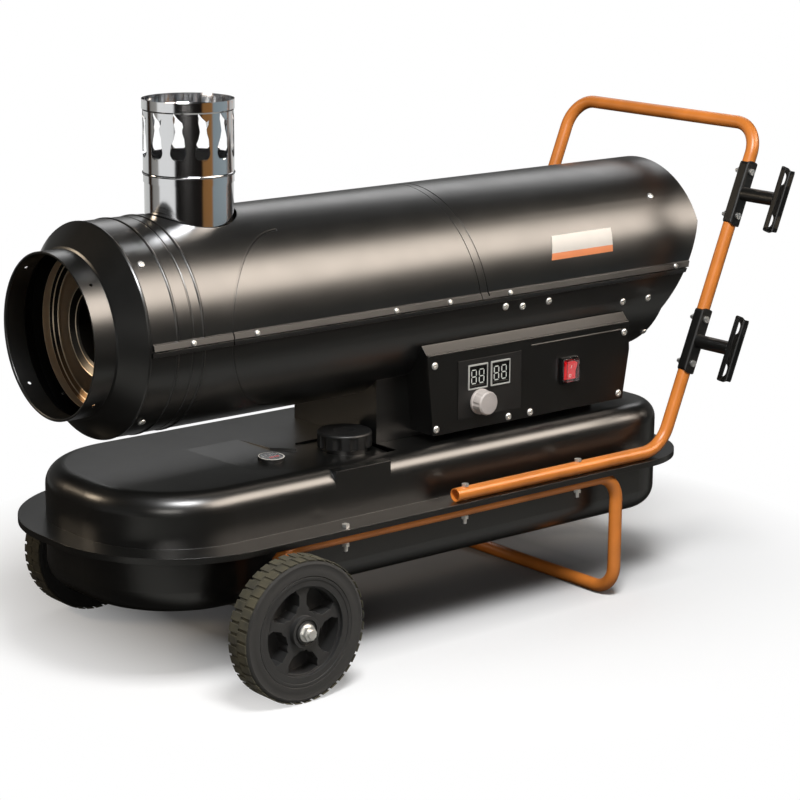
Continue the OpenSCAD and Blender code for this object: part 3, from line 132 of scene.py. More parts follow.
def grain(tree, shader, size_mm, strength, edge_mm=0.0, detail=2.0, depth_mm=0.1, stretch=(1, 1, 1)):
    """Bumps the shader with noise of a given grain size, and rounds hard edges by edge_mm.
    Returns the coordinates of the pattern."""
    spot = put(tree, "ShaderNodeTexCoord").outputs["Object"]
    where = put(tree, "ShaderNodeMapping", {"Vector": spot, "Scale": stretch}).outputs[0]
    noise = put(tree, "ShaderNodeTexNoise", {"Vector": where, "Scale": 1000 / size_mm, "Detail": detail})
    bump = put(tree, "ShaderNodeBump", {
        "Height": noise.outputs["Fac"], "Strength": strength, "Distance": depth_mm * MM})
    if edge_mm:
        rounded = put(tree, "ShaderNodeBevel", {"Radius": edge_mm * MM}, samples=4)
        tree.links.new(rounded.outputs[0], bump.inputs["Normal"])
    tree.links.new(bump.outputs[0], shader.inputs["Normal"])
    return where


def mottle(tree, shader, where, socket, size_mm, low, high):
    """Varies one shader input between two numbers or colours over patches of a given size."""
    noise = put(tree, "ShaderNodeTexNoise", {"Vector": where, "Scale": 1000 / size_mm, "Detail": 3.0})
    if isinstance(low, float):
        varied = put(tree, "ShaderNodeMapRange", {
            "Value": noise.outputs["Fac"], "From Min": 0.3, "From Max": 0.7, "To Min": low, "To Max": high})
    else:
        varied = put(tree, "ShaderNodeValToRGB", {"Fac": noise.outputs["Fac"]})
        for stop, place, colour in zip(varied.color_ramp.elements, (0.35, 0.68), (low, high)):
            stop.position = place
            stop.color = colour
    tree.links.new(varied.outputs[0], shader.inputs[socket])


# Finishes

# Dust lies on the running band of a tyre between these radii, in patches of about 17 mm.
DUST_FROM, DUST_FULL = 96.2, 98.4
DUST_PATCHES_PER_M = 60.0

# Oxide colours change this many times in a metre of a pattern that is drawn six times as
# dense along the barrel, which makes a ring every 37 mm.
OXIDE_DENSE = 6
OXIDE_WAVES_PER_M = 9.0
# painted highlights on edges that face the outlet, by their radius, and half the width of each bright line
LINER_HIGHLIGHT_RADII = (109.4, 104.5, 98.3)
NOSE_HIGHLIGHT_RADII = (65.6, 55.5)
HIGHLIGHT_HALF = 0.7
# painted shade thins out in this direction, from the first distance in metres to the second, so that the
# inside is darker towards the top and the far side
PAINTED_SHADE_THINS = (0, -0.6, -0.8)
PAINTED_SHADE_FROM, PAINTED_SHADE_GONE = -0.03, 0.09


def powder_coat(name, colour, roughness, edge_mm, coat=0.3):
    """Baked powder paint on sheet steel: an even colour with a very shallow ripple
    that breaks up the highlights, and a soft gloss that pools light on round sheet."""
    tree, shader = surface(name, Base_Color=colour, Roughness=roughness, IOR=1.5, Coat_Weight=coat,
                           Coat_IOR=1.55, Coat_Roughness=roughness * 0.9)
    where = grain(tree, shader, 3.2, 0.16, edge_mm, depth_mm=0.05)
    mottle(tree, shader, where, "Base Color", 60, tint(colour, 0.88), tint(colour, 1.15))
    mottle(tree, shader, where, "Roughness", 45, roughness - 0.02, roughness + 0.04)


def zinc_plate(name, colour, roughness):
    """Bright zinc on small steel parts: a grey metal with uneven shine and fine specks.
    With another colour it is plain brass or copper."""
    tree, shader = surface(name, Base_Color=colour, Metallic=1.0, Roughness=roughness)
    where = grain(tree, shader, 1.2, 0.25, 0.5, depth_mm=0.08)
    mottle(tree, shader, where, "Roughness", 4, roughness - 0.08, roughness + 0.12)
    mottle(tree, shader, where, "Base Color", 7, tint(colour, 0.75), tint(colour, 1.1))


def bright_sheet(name, colour, roughness):
    """Rolled stainless sheet: a mirror with slight upright waves from rolling, so that
    reflections stand in wavy bands."""
    tree, shader = surface(name, Base_Color=colour, Metallic=1.0, Roughness=roughness)
    where = grain(tree, shader, 26, 0.12, 0.4, detail=1.0, depth_mm=0.5, stretch=(1, 1, 0.15))
    mottle(tree, shader, where, "Roughness", 18, roughness, roughness + 0.04)


def moulded(name, colour, roughness, strength=0.3, edge_mm=0.5):
    """Injection moulded plastic: an even colour with a fine spark-eroded grain that
    keeps highlights dull. The grain is drawn coarser than it is, so that it shows."""
    tree, shader = surface(name, Base_Color=colour, Roughness=roughness, IOR=1.49)
    where = grain(tree, shader, 0.9, strength, edge_mm, depth_mm=0.04)
    mottle(tree, shader, where, "Roughness", 20, roughness - 0.04, roughness + 0.06)
    mottle(tree, shader, where, "Base Color", 30, tint(colour, 0.9), tint(colour, 1.12))


def painted_glow_moulding(name, colour, glow, strength, roughness):
    """Coloured clear plastic: smooth and glossy, with a faint painted glow that stands in for light."""
    tree, shader = surface(name, Base_Color=colour, Roughness=roughness, IOR=1.5, Emission_Color=glow,
                           Emission_Strength=strength)
    grain(tree, shader, 3, 0.05, 0.4, depth_mm=0.05)


def painted_glow_segment(name, colour, glow, strength):
    """A bar of a display behind its window: pale and dull, with a faint painted glow that stands in for
    light.
    """
    tree, shader = surface(name, Base_Color=colour, Roughness=0.5, Emission_Color=glow,
                           Emission_Strength=strength)
    grain(tree, shader, 1.5, 0.1)


def clear_moulding(name, colour):
    """Clear polycarbonate: it lets light through and shows sharp glints."""
    tree, shader = surface(name, Base_Color=colour, Roughness=0.06, IOR=1.58, Transmission_Weight=1.0)
    grain(tree, shader, 5, 0.08, 0.3, depth_mm=0.05)


def amber_bowl(name, colour):
    """The nylon bowl of a fuel filter: amber, half clear and smooth."""
    tree, shader = surface(name, Base_Color=colour, Roughness=0.2, Transmission_Weight=0.6)
    grain(tree, shader, 4, 0.1, 0.4)


def pad_print(name, colour):
    """Printed ink: a flat, dull, even white."""
    tree, shader = surface(name, Base_Color=colour, Roughness=0.4)
    grain(tree, shader, 2, 0.05)


def vinyl_label(name, colour):
    """Coated vinyl film: a nearly even colour under a soft clear gloss, with the slight
    waves of a label that was rubbed on by hand."""
    tree, shader = surface(name, Roughness=0.38, Coat_Weight=0.3, Coat_Roughness=0.2)
    where = grain(tree, shader, 8, 0.08)
    mottle(tree, shader, where, "Base Color", 40, tint(colour, 0.96), tint(colour, 1.03))


def tyre_rubber(name, side, tread, centre):
    """Moulded solid rubber: near black on the walls and dusty olive on the running
    band, which is what a little floor dust leaves there. It has no gloss."""
    tree, shader = surface(name, Roughness=0.78, IOR=1.52, Sheen_Weight=0.05, Sheen_Roughness=0.6)
    where = grain(tree, shader, 2.0, 0.5, 0.6, detail=4.0, depth_mm=0.15)
    spot = put(tree, "ShaderNodeTexCoord").outputs["Object"]
    away = put(tree, "ShaderNodeVectorMath", {0: spot, 1: (centre.x, 0, centre.z)}, operation="SUBTRACT")
    flat = put(tree, "ShaderNodeVectorMath", {0: away.outputs[0], 1: (1, 0, 1)}, operation="MULTIPLY")
    radius = put(tree, "ShaderNodeVectorMath", {0: flat.outputs[0]}, operation="LENGTH").outputs["Value"]
    band = window(tree, [(radius, DUST_FROM * MM, DUST_FULL * MM)])
    patch = put(tree, "ShaderNodeTexNoise", {"Vector": where, "Scale": DUST_PATCHES_PER_M, "Detail": 3.0})
    dust = put(tree, "ShaderNodeMath", {0: band, 1: patch.outputs["Fac"]}, operation="MULTIPLY").outputs[0]
    dust = window(tree, [(dust, 0.12, 0.62)])
    mixed = put(tree, "ShaderNodeMix", {"Factor": dust, "A": side, "B": tread}, data_type="RGBA")
    tree.links.new(mixed.outputs["Result"], shader.inputs["Base Color"])


def heat_tinted(name, cool, straw, brown, edges, roughness=0.3):
    """Bare steel sheet that has been hot: straw and brown oxide in soft rings along the
    barrel, with painted shade that darkens it towards the top and the far side, and
    painted highlights as bright lines at the given radii from the barrel's axis, over a
    dull metal with fine lathe lines."""
    tree, shader = surface(name, Metallic=0.85, Roughness=roughness)
    where = grain(tree, shader, 6, 0.35, 0.4, depth_mm=0.15, stretch=(OXIDE_DENSE, 1, 1))
    along = put(tree, "ShaderNodeSeparateXYZ", {0: where}).outputs[0]
    patch = put(tree, "ShaderNodeTexNoise", {"Vector": where, "Scale": OXIDE_WAVES_PER_M, "Detail": 3.0})
    wave = put(tree, "ShaderNodeMath", {0: along, 1: OXIDE_WAVES_PER_M, 2: patch.outputs["Fac"]},
               operation="MULTIPLY_ADD")
    wave = put(tree, "ShaderNodeMath", {0: wave.outputs[0], 1: 1.0}, operation="PINGPONG")
    oxide = put(tree, "ShaderNodeValToRGB", {"Fac": wave.outputs[0]})
    oxide.color_ramp.elements[0].color = cool
    oxide.color_ramp.elements[1].color = brown
    oxide.color_ramp.elements.new(0.5).color = straw
    spot = put(tree, "ShaderNodeTexCoord").outputs["Object"]
    spot = put(tree, "ShaderNodeVectorMath", {0: spot, 1: (0, 0, BARREL_Z * MM)}, operation="SUBTRACT")
    spot = put(tree, "ShaderNodeVectorMath", {0: spot.outputs[0], 1: (0, 1, 1)}, operation="MULTIPLY")
    fall = put(tree, "ShaderNodeVectorMath", {0: spot.outputs[0], 1: PAINTED_SHADE_THINS}, operation="DOT_PRODUCT")
    unshaded = window(tree, [(fall.outputs["Value"], PAINTED_SHADE_FROM, PAINTED_SHADE_GONE)])
    # painted shade: a dark brown takes over towards the top and the far side of the inside
    colour = put(tree, "ShaderNodeMix", {"Factor": unshaded, "A": linear("#17120F"), "B": oxide.outputs[0]},
                 data_type="RGBA").outputs["Result"]
    radius = put(tree, "ShaderNodeVectorMath", {0: spot.outputs[0]}, operation="LENGTH").outputs["Value"]
    # painted highlights: a pale line at each given radius stands in for light caught by an edge
    for edge in edges:
        highlight_line = put(tree, "ShaderNodeMath", {0: radius, 1: edge * MM, 2: HIGHLIGHT_HALF * MM}, operation="COMPARE")
        colour = put(tree, "ShaderNodeMix", {"Factor": highlight_line.outputs[0], "A": colour, "B": linear("#F0DCC0")},
                     data_type="RGBA").outputs["Result"]
    tree.links.new(colour, shader.inputs["Base Color"])


# Mesh helpers


def new_piece(name, bm, *materials):
    """Closes a bmesh into an object at the origin with its materials."""
    mesh = bpy.data.meshes.new(name)
    bmesh.ops.recalc_face_normals(bm, faces=bm.faces)
    bm.to_mesh(mesh)
    bm.free()
    obj = bpy.data.objects.new(name, mesh)
    bpy.context.scene.collection.objects.link(obj)
    for finish in materials:
        mesh.materials.append(finish)
    return obj


def smooth(obj, degrees=35):
    """Shades round faces smooth and keeps edges sharper than the given angle."""
    mesh = obj.data
    mesh.polygons.foreach_set("use_smooth", [True] * len(mesh.polygons))
    mesh.set_sharp_from_angle(angle=math.radians(degrees))
    return obj


def join_rings(bm, rings, closed=True):
    """Faces between each ring of corners and the next, and round each ring if it is closed."""
    count = len(rings[0])
    for a, b in zip(rings, rings[1:] + rings[:1]):
        for k in range(count if closed else count - 1):
            bm.faces.new((a[k], a[(k + 1) % count], b[(k + 1) % count], b[k]))


def lathe(bm, profile, steps, place, closed=True):
    """Turns a profile of (radius, height) about the z axis, then places it."""
    rings = []
    for i in range(steps):
        turn = Matrix.Rotation(2 * math.pi * i / steps, 4, "Z")
        rings.append([bm.verts.new(place @ (turn @ Vector((r * MM, 0, h * MM)))) for r, h in profile])
    join_rings(bm, rings, closed)


def block(bm, size, place, taper=1.0):
    """A box of the given size, its top narrowed by taper."""
    x, y, z = (s * MM / 2 for s in size)
    low = [bm.verts.new(place @ Vector((sx * x, sy * y, -z))) for sx, sy in CORNERS]
    top = [bm.verts.new(place @ Vector((sx * x * taper, sy * y * taper, z))) for sx, sy in CORNERS]
    bm.faces.new(low[::-1])
    bm.faces.new(top)
    for i in range(4):
        bm.faces.new((low[i], low[(i + 1) % 4], top[(i + 1) % 4], top[i]))


def geometry_tree(name, sockets):
    """A geometry tree with one geometry input, named inputs and one geometry output."""
    tree = bpy.data.node_groups.new(name, "GeometryNodeTree")
    tree.interface.new_socket("Geometry", in_out="INPUT", socket_type="NodeSocketGeometry")
    for label, kind in sockets:
        tree.interface.new_socket(label, in_out="INPUT", socket_type=kind)
    tree.interface.new_socket("Geometry", in_out="OUTPUT", socket_type="NodeSocketGeometry")
    return tree, tree.nodes.new("NodeGroupInput").outputs


def close_tree(tree, geometry, finish):
    """Ends a geometry tree with real faces that carry a material."""
    real = put(tree, "GeometryNodeRealizeInstances", {"Geometry": geometry})
    painted = put(tree, "GeometryNodeSetMaterial", {"Geometry": real.outputs[0], "Material": finish})
    put(tree, "NodeGroupOutput", {"Geometry": painted.outputs[0]})


def settle(obj):
    """Keeps what an object's modifiers make as its plain mesh."""
    graph = bpy.context.evaluated_depsgraph_get()
    mesh = bpy.data.meshes.new_from_object(obj.evaluated_get(graph), depsgraph=graph)
    obj.modifiers.clear()
    obj.data = mesh
    return obj


def grow(obj, tree, values):
    """Runs a tree on an object and keeps the result as its plain mesh."""
    modifier = obj.modifiers.new("grow", "NODES")
    modifier.node_group = tree
    for item in tree.interface.items_tree:
        if item.item_type == "SOCKET" and item.in_out == "INPUT" and item.name in values:
            modifier[item.identifier] = values[item.name]
    return settle(obj)


def join(name, parts):
    """Puts several mesh objects into the first one, materials and all."""
    bpy.context.view_layer.update()
    with bpy.context.temp_override(active_object=parts[0], object=parts[0], selected_objects=parts,
                                   selected_editable_objects=parts):
        bpy.ops.object.join()
    parts[0].name = name
    return parts[0]


# Settings


class HeaterSettings(bpy.types.PropertyGroup):
    """Sizes and colours that a user would change"""

    black: FloatVectorProperty(name="Black powder coat", description="Paint of barrel, tank and control box",
                               subtype="COLOR", size=4, min=0, max=1, default=linear("#0A0A09"))
    orange: FloatVectorProperty(name="Orange powder coat", description="Paint of the frame tubes",
                                subtype="COLOR", size=4, min=0, max=1, default=linear("#D27C33"))
    gloss: FloatProperty(name="Paint roughness", description="Roughness of the black paint", subtype="FACTOR",
                         min=0.1, max=0.8, default=0.31)
    tyre_side: FloatVectorProperty(name="Tyre wall", description="Rubber of the tyre walls",
                                   subtype="COLOR", size=4, min=0, max=1, default=linear("#121211"))
    tyre_tread: FloatVectorProperty(name="Tyre tread", description="Dusty rubber of the running band",
                                    subtype="COLOR", size=4, min=0, max=1, default=linear("#45412F"))
    knob_grey: FloatVectorProperty(name="Knob", description="Plastic of the thermostat knob",
                                   subtype="COLOR", size=4, min=0, max=1, default=linear("#B9B1AC"))
    rocker_red: FloatVectorProperty(name="Rocker", description="Plastic of the rocker",
                                    subtype="COLOR", size=4, min=0, max=1, default=linear("#C8141A"))
    lugs: IntProperty(name="Tread lugs", description="Lugs in each row round a tyre",
                      min=20, max=80, default=40)
    lug_height: FloatProperty(name="Lug height", description="Height of a tread lug", unit="LENGTH",
                              min=0.0005, max=0.003, default=0.0006)
    screw_head: FloatProperty(name="Screw head", description="Radius of a shell screw's head", unit="LENGTH",
                              min=0.003, max=0.007, default=0.0056)


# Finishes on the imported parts

FINISH = {
    "black paint": ("tank_lower", "tank_upper", "filler_neck", "barrel_lower", "barrel_upper_front",
                    "barrel_upper_rear", "outlet_cone", "support_box"),
    "panel paint": ("control_panel", "control_box"),
    "hook paint": ("hook_upper", "hook_lower"),
    "orange paint": ("chassis_tube", "handle_tube"),
    "zinc": ("drain_plug", "fuel_strainer", "frame_bolts", "axle", "axle_washers", "axle_nuts",
             "shell_screws", "panel_screws", "hook_bolts", "motor_bracket"),
    "stainless": ("flue_pipe", "flue_cap"),
    "tyre left": ("wheel_tyre_left",),
    "tyre right": ("wheel_tyre_right",),
    "wheel plastic": ("wheel_rim_left", "wheel_rim_right"),
    "cap plastic": ("fuel_cap", "gauge_body", "cable_gland", "panel_insert"),
    "seal": ("cap_gasket",),
    "clear": ("gauge_lens", "switch_cover"),
    "red": ("power_rocker", "gauge_needle"),
    "float": ("gauge_float",),
    "hot steel": ("air_liner", "combustion_chamber", "burner_head"),
    "nose steel": ("chamber_nose",),
    "ceramic": ("ignition_electrodes",),
    "brass": ("fuel_nozzle",),
    "copper": ("pump_feed_pipe", "nozzle_pipe"),
    "grey paint": ("fan_motor", "fuel_pump", "ignition_transformer"),
    "guard paint": ("intake_guard",),
    "fan metal": ("fan",),
    "filter bowl": ("fuel_filter",),
    "display": ("displays",),
    "knob": ("thermostat_knob",),
    "black plastic": ("switch_frame", "thermostat"),
    "board": ("control_board",),
}


class HEATER_OT_finishes(bpy.types.Operator):
    """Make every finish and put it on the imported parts"""

    bl_idname = "heater.finishes"
    bl_label = "Finishes"

    def execute(self, context):
        s = context.scene.heater
        black, orange, red = tuple(s.black), tuple(s.orange), tuple(s.rocker_red)
        powder_coat("black paint", black, s.gloss, 1.2, 0.6)
        powder_coat("panel paint", black, s.gloss - 0.01, 0.8, 0.2)
        powder_coat("hook paint", black, s.gloss + 0.09, 0.6, 0.1)
        powder_coat("orange paint", orange, 0.36, 0.0, 0.1)
        powder_coat("grey paint", linear("#4A4B4D"), 0.45, 0.6)
        powder_coat("guard paint", linear("#1A1A1A"), 0.4, 0.0)
        zinc_plate("zinc", linear("#B4B4AF"), 0.26)
        zinc_plate("fan metal", linear("#B9BABC"), 0.38)
        zinc_plate("brass", linear("#C79A4B"), 0.3)
        zinc_plate("copper", linear("#C07A50"), 0.3)
        bright_sheet("stainless", linear("#E4E2DE"), 0.03)
        heat_tinted("hot steel", linear("#9A8B7A"), linear("#C29A6C"), linear("#7A5238"), LINER_HIGHLIGHT_RADII)
        heat_tinted("nose steel", linear("#B4B0AA"), linear("#A59C90"), linear("#8A8178"), NOSE_HIGHLIGHT_RADII, 0.36)
        for side in ("left", "right"):
            hub = JOINTS["wheel_%s_spin" % side]
            tyre_rubber("tyre " + side, tuple(s.tyre_side), tuple(s.tyre_tread), hub)
        moulded("wheel plastic", linear("#262626"), 0.5, edge_mm=0.9)
        moulded("cap plastic", linear("#101010"), 0.45)
        moulded("seal", linear("#161616"), 0.8)
        moulded("black plastic", linear("#0E0E0E"), 0.3)
        moulded("knob", tuple(s.knob_grey), 0.42, strength=0.15, edge_mm=0.7)
        moulded("float", linear("#C0B48C"), 0.5)
        moulded("board", linear("#1B5A34"), 0.4)
        moulded("ceramic", linear("#E6E2D6"), 0.2)
        moulded("display", linear("#101110"), 0.16, strength=0.05)
        moulded("display frame", linear("#B9B8B2"), 0.35, strength=0.1)
        # painted glow: the rocker and the gauge needle are given a faint red glow
        painted_glow_moulding("red", red, red, 0.6, 0.22)
        # painted glow: the display figures are given a faint pale glow
        painted_glow_segment("figure bars", linear("#C9CAC4"), linear("#D8DAD2"), 0.1)
        clear_moulding("clear", linear("#F4F5F6"))
        amber_bowl("filter bowl", linear("#C9B68A"))
        pad_print("mark white", linear("#E9E4DA"))
        vinyl_label("sticker white", linear("#CAC4BC"))
        vinyl_label("sticker orange", linear("#DB8556"))
        for finish, nodes in FINISH.items():
            for node in nodes:
                for slot in frame["nodes"][node].material_slots:
                    slot.material = material(finish)
        return {"FINISHED"}


# Tyres

TYRE_R = 100.0
TYRE_W = 42.0
# radius and depth from the wall's plane, from the rim out to the middle of the tread
TYRE_PROFILE = [(76.05, 2), (77.5, 0.8), (84, 0.6), (85, 1.0), (92.5, 1.0), (93.5, 0.5), (95.4, 1.2),
                (97.4, 3.2), (98.3, 6.5), (98.4, 21)]
TYRE_STEPS = 128
# a lug's size round the tyre and across it, how far it sinks in, its taper and its worn edge
LUG_ROUND, LUG_ACROSS = 12.2, 19.0
LUG_SUNK = 0.8
LUG_TAPER = 0.96
LUG_EDGE = 0.5
# each row of lugs stands this far from the tyre's middle, and a quarter step ahead or behind
ROW_ACROSS = 9.8
ROW_LEAD = 0.25


def tread_tree():
    """Sets one lug on each corner of two rings, side by side and half a step apart."""
    tree, given = geometry_tree("tread rows", [
        ("Lugs", "NodeSocketInt"), ("Radius", "NodeSocketFloat"), ("Offset", "NodeSocketFloat"),
        ("Finish", "NodeSocketMaterial")])
    step = put(tree, "ShaderNodeMath", {0: 2 * math.pi, 1: given["Lugs"]}, operation="DIVIDE").outputs[0]
    index = put(tree, "GeometryNodeInputIndex").outputs[0]
    joined = put(tree, "GeometryNodeJoinGeometry")
    for row in (-1, 1):
        ring = put(tree, "GeometryNodeMeshCircle", {"Vertices": given["Lugs"], "Radius": given["Radius"]})
        turned = put(tree, "ShaderNodeMath", {0: index, 1: step}, operation="MULTIPLY").outputs[0]
        angle = put(tree, "ShaderNodeCombineXYZ", {"Z": turned}).outputs[0]
        set_on = put(tree, "GeometryNodeInstanceOnPoints", {
            "Points": ring.outputs["Mesh"], "Instance": given["Geometry"], "Rotation": angle})
        ahead = put(tree, "ShaderNodeMath", {0: step, 1: ROW_LEAD * row}, operation="MULTIPLY").outputs[0]
        lead = put(tree, "ShaderNodeCombineXYZ", {"Z": ahead}).outputs[0]
        aside = put(tree, "ShaderNodeMath", {0: given["Offset"], 1: float(row)}, operation="MULTIPLY")
        shift = put(tree, "ShaderNodeCombineXYZ", {"Z": aside.outputs[0]}).outputs[0]
        placed = put(tree, "GeometryNodeTransform", {
            "Geometry": set_on.outputs[0], "Rotation": lead, "Translation": shift})
        tree.links.new(placed.outputs[0], joined.inputs[0])
    close_tree(tree, joined.outputs[0], given["Finish"])
    return tree


class HEATER_OT_tyres(bpy.types.Operator):
    """Turn both tyres and set rows of tread lugs round them"""

    bl_idname = "heater.tyres"
    bl_label = "Tyres"

    def execute(self, context):
        s = context.scene.heater
        near = [(r, h - TYRE_W / 2) for r, h in TYRE_PROFILE]
        profile = near + [(r, -h) for r, h in near[-2::-1]]
        tree = tread_tree()
        for side, upright in (("left", 90), ("right", -90)):
            centre = JOINTS["wheel_%s_spin" % side]
            rubber = material("tyre " + side)
            place = Matrix.Translation(centre) @ Matrix.Rotation(math.radians(upright), 4, "X")
            bm = bmesh.new()
            lathe(bm, profile, TYRE_STEPS, place)
            carcass = smooth(new_piece("tyre_%s" % side, bm, rubber))
            bm = bmesh.new()
            block(bm, (s.lug_height / MM + LUG_SUNK, LUG_ROUND, LUG_ACROSS), Matrix.Identity(4), LUG_TAPER)
            bmesh.ops.bevel(bm, geom=bm.edges[:], offset=LUG_EDGE * MM, segments=1, affect="EDGES")
            lugs = new_piece("lugs_%s" % side, bm, rubber)
            radius = (TYRE_R - LUG_EDGE) * MM - s.lug_height / 2
            grow(lugs, tree, {"Lugs": s.lugs, "Radius": radius, "Offset": ROW_ACROSS * MM, "Finish": rubber})
            lugs.data.transform(place)
            tyre = join("tyre_" + side, [carcass, lugs])
            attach(tyre, "wheel_" + side)
            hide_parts("wheel_tyre_" + side)
        return {"FINISHED"}


# Screws

# where the shell screws stand: distance behind the axle, angle above the near side
SHELL_SCREWS = [(-138, 45), (-138, -48), (798, 45), (709, -17.6), (763, -17.8), (797, -48), (465, -8),
                (499, -9.5), (551, -9)]
# screws in the drip band, by distance behind the axle; the band stands off and leans out
BAND_SCREWS = [-88, 15, 256, 355, 470, 811]
BAND_OFF, BAND_UP = 3.25, 0.5
BAND_LEAN = math.atan(2.5 / 8)
# screws in the control panel: distance behind the axle, height
PANEL_SCREWS = [(330, 394), (334, 300), (707, 394), (698, 300), (473, 298), (516, 298)]
PANEL_FACE_Y = -147
# a pan head as share of its radius and height, and the arms of its cross: length and width
# as shares of that radius, depth, and the height of their middle
HEAD_PROFILE = [(1, 0), (1, 0.5), (0.97, 1.1), (0.86, 1.9), (0.62, 2.5), (0.3, 2.75)]
HEAD_TOP = 2.8
POLE_R = 0.02
CROSS_LONG, CROSS_WIDE, CROSS_DEEP = 1.3, 0.32, 2.4
CROSS_Z = 2.2
SMALL_HEAD = 0.74
# turn of each screw's cross after the one before, and with each millimetre along the panel
NEXT_TURN = 0.8
PANEL_TURN = 0.3


def screw_head(name, radius, finish):
    """A pan head with a cross recess on a plain washer face, standing on z = 0."""
    r = radius / MM
    profile = [(POLE_R, 0)] + [(share * r, h) for share, h in HEAD_PROFILE] + [(POLE_R, HEAD_TOP)]
    bm = bmesh.new()
    lathe(bm, profile, 20, Matrix.Identity(4), closed=False)
    bmesh.ops.holes_fill(bm, edges=[e for e in bm.edges if e.is_boundary])
    head = new_piece(name, bm, finish)
    bm = bmesh.new()
    # one arm is a little deeper, so that the two share no face
    for turn, deeper in ((0, 0.0), (90, 0.1)):
        place = Matrix.Rotation(math.radians(turn), 4, "Z") @ Matrix.Translation((0, 0, CROSS_Z * MM))
        block(bm, (r * CROSS_LONG, r * CROSS_WIDE, CROSS_DEEP + deeper), place)
    cross = new_piece("cross", bm, finish)
    cut = head.modifiers.new("recess", "BOOLEAN")
    cut.object = cross
    cut.operation = "DIFFERENCE"
    cut.solver = "EXACT"
    cut.use_self = True
    settle(head)
    bpy.data.objects.remove(cross)
    return head


def screw_tree():
    """Sets one instance on each point, turned to the point's own facing and spin."""
    tree, given = geometry_tree("screw places", [
        ("Screw", "NodeSocketObject"), ("Finish", "NodeSocketMaterial")])
    facing = put(tree, "GeometryNodeInputNamedAttribute", {"Name": "facing"}, data_type="FLOAT_VECTOR")
    spin = put(tree, "GeometryNodeInputNamedAttribute", {"Name": "spin"}, data_type="FLOAT")
    aim = put(tree, "FunctionNodeAlignRotationToVector", {"Vector": facing.outputs[0]}, axis="Z")
    turn = put(tree, "ShaderNodeCombineXYZ", {"Z": spin.outputs[0]}).outputs[0]
    aimed = put(tree, "FunctionNodeRotateRotation", {"Rotation": aim.outputs[0], "Rotate By": turn},
                rotation_space="LOCAL")
    screw = put(tree, "GeometryNodeObjectInfo", {"Object": given["Screw"]})
    placed = put(tree, "GeometryNodeInstanceOnPoints", {
        "Points": given["Geometry"], "Instance": screw.outputs["Geometry"], "Rotation": aimed.outputs[0]})
    close_tree(tree, placed.outputs[0], given["Finish"])


def facing_points(name, places):
    """Loose points as (place, facing, spin) that carry their facing and spin."""
    mesh = bpy.data.meshes.new(name)
    mesh.from_pydata([place for place, _, _ in places], [], [])
    # each attribute is filled before the next is added, which would move it in memory
    facing = mesh.attributes.new("facing", "FLOAT_VECTOR", "POINT")
    facing.data.foreach_set("vector", [c for _, normal, _ in places for c in normal])
    spin = mesh.attributes.new("spin", "FLOAT", "POINT")
    spin.data.foreach_set("value", [turn for _, _, turn in places])
    obj = bpy.data.objects.new(name, mesh)
    bpy.context.scene.collection.objects.link(obj)
    return obj


def set_out(name, places, pattern, finish):
    """Copies of one pattern object at every place, as one mesh."""
    tree = bpy.data.node_groups["screw places"]
    return grow(facing_points(name, places), tree, {"Screw": pattern, "Finish": finish})


class HEATER_OT_screws(bpy.types.Operator):
    """Set cross head screws in the shells and in the control panel"""

    bl_idname = "heater.screws"
    bl_label = "Screws"

    def execute(self, context):
        s = context.scene.heater
        screw_tree()
        shell, band = [], []
        for x, angle in SHELL_SCREWS:
            a = math.radians(angle)
            for side in (-1, 1):
                facing = Vector((0, side * math.cos(a), math.sin(a)))
                spot = at(x, side * BARREL_R * math.cos(a), BARREL_Z + BARREL_R * math.sin(a))
                shell.append((spot, facing, NEXT_TURN * len(shell)))
        for x in BAND_SCREWS:
            for side in (-1, 1):
                facing = Vector((0, side * math.cos(BAND_LEAN), math.sin(BAND_LEAN)))
                spot = at(x, side * (BARREL_R + BAND_OFF), BARREL_Z + BAND_UP)
                band.append((spot, facing, NEXT_TURN * len(band)))
        panel = [(at(x, PANEL_FACE_Y, z), Vector((0, -1, 0)), PANEL_TURN * x) for x, z in PANEL_SCREWS]
        zinc = material("zinc")
        big = screw_head("screw_big", s.screw_head, zinc)
        small = screw_head("screw_small", s.screw_head * SMALL_HEAD, zinc)
        made = [smooth(set_out(name, places, head, zinc), 40)
                for name, places, head in (("barrel_screws", shell, big), ("band_screws", band, small),
                                           ("panel_screw_heads", panel, big))]
        barrel = join("barrel_screw_heads", made[:2])
        for piece, node in ((barrel, "shell_screws"), (made[2], "panel_screws")):
            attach(piece, "heater")
            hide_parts(node)
        for head in (big, small):
            bpy.data.objects.remove(head)
        return {"FINISHED"}


# Displays

# the middles of the two displays behind the axle, their height and the plane of their faces
DISPLAYS = (410.5, 454.0)
DISPLAY_Z = 368.0
DISPLAY_FACE_Y = -148.8
# a figure's middle stands this far from its display's, and its bars this far from its own
FIGURE_X = 7.3
BAR_X, BAR_Z = 4.4, 5.0
# the seven bars of a figure: place in half widths and quarter heights, and whether it is upright
BARS = [(0, 2, 0), (0, 0, 0), (0, -2, 0), (-1, 1, 1), (1, 1, 1), (-1, -1, 1), (1, -1, 1)]
BAR_OUTLINE = [(-3.9, 0), (-3.1, 0.75), (3.1, 0.75), (3.9, 0), (3.1, -0.75), (-3.1, -0.75)]
BAR_HALF = 0.15
# half widths and half heights of the pale rim, and how far its edges stand off the panel's back
RIM_OUTER, RIM_INNER = (18.4, 18.4), (16.7, 16.2)
RIM_SECTION = [(RIM_OUTER, 3.2), (RIM_OUTER, 5.6), (RIM_INNER, 5.6), (RIM_INNER, 3.9)]
RIM_EDGE = 0.25
PANEL_BACK_Y = -145


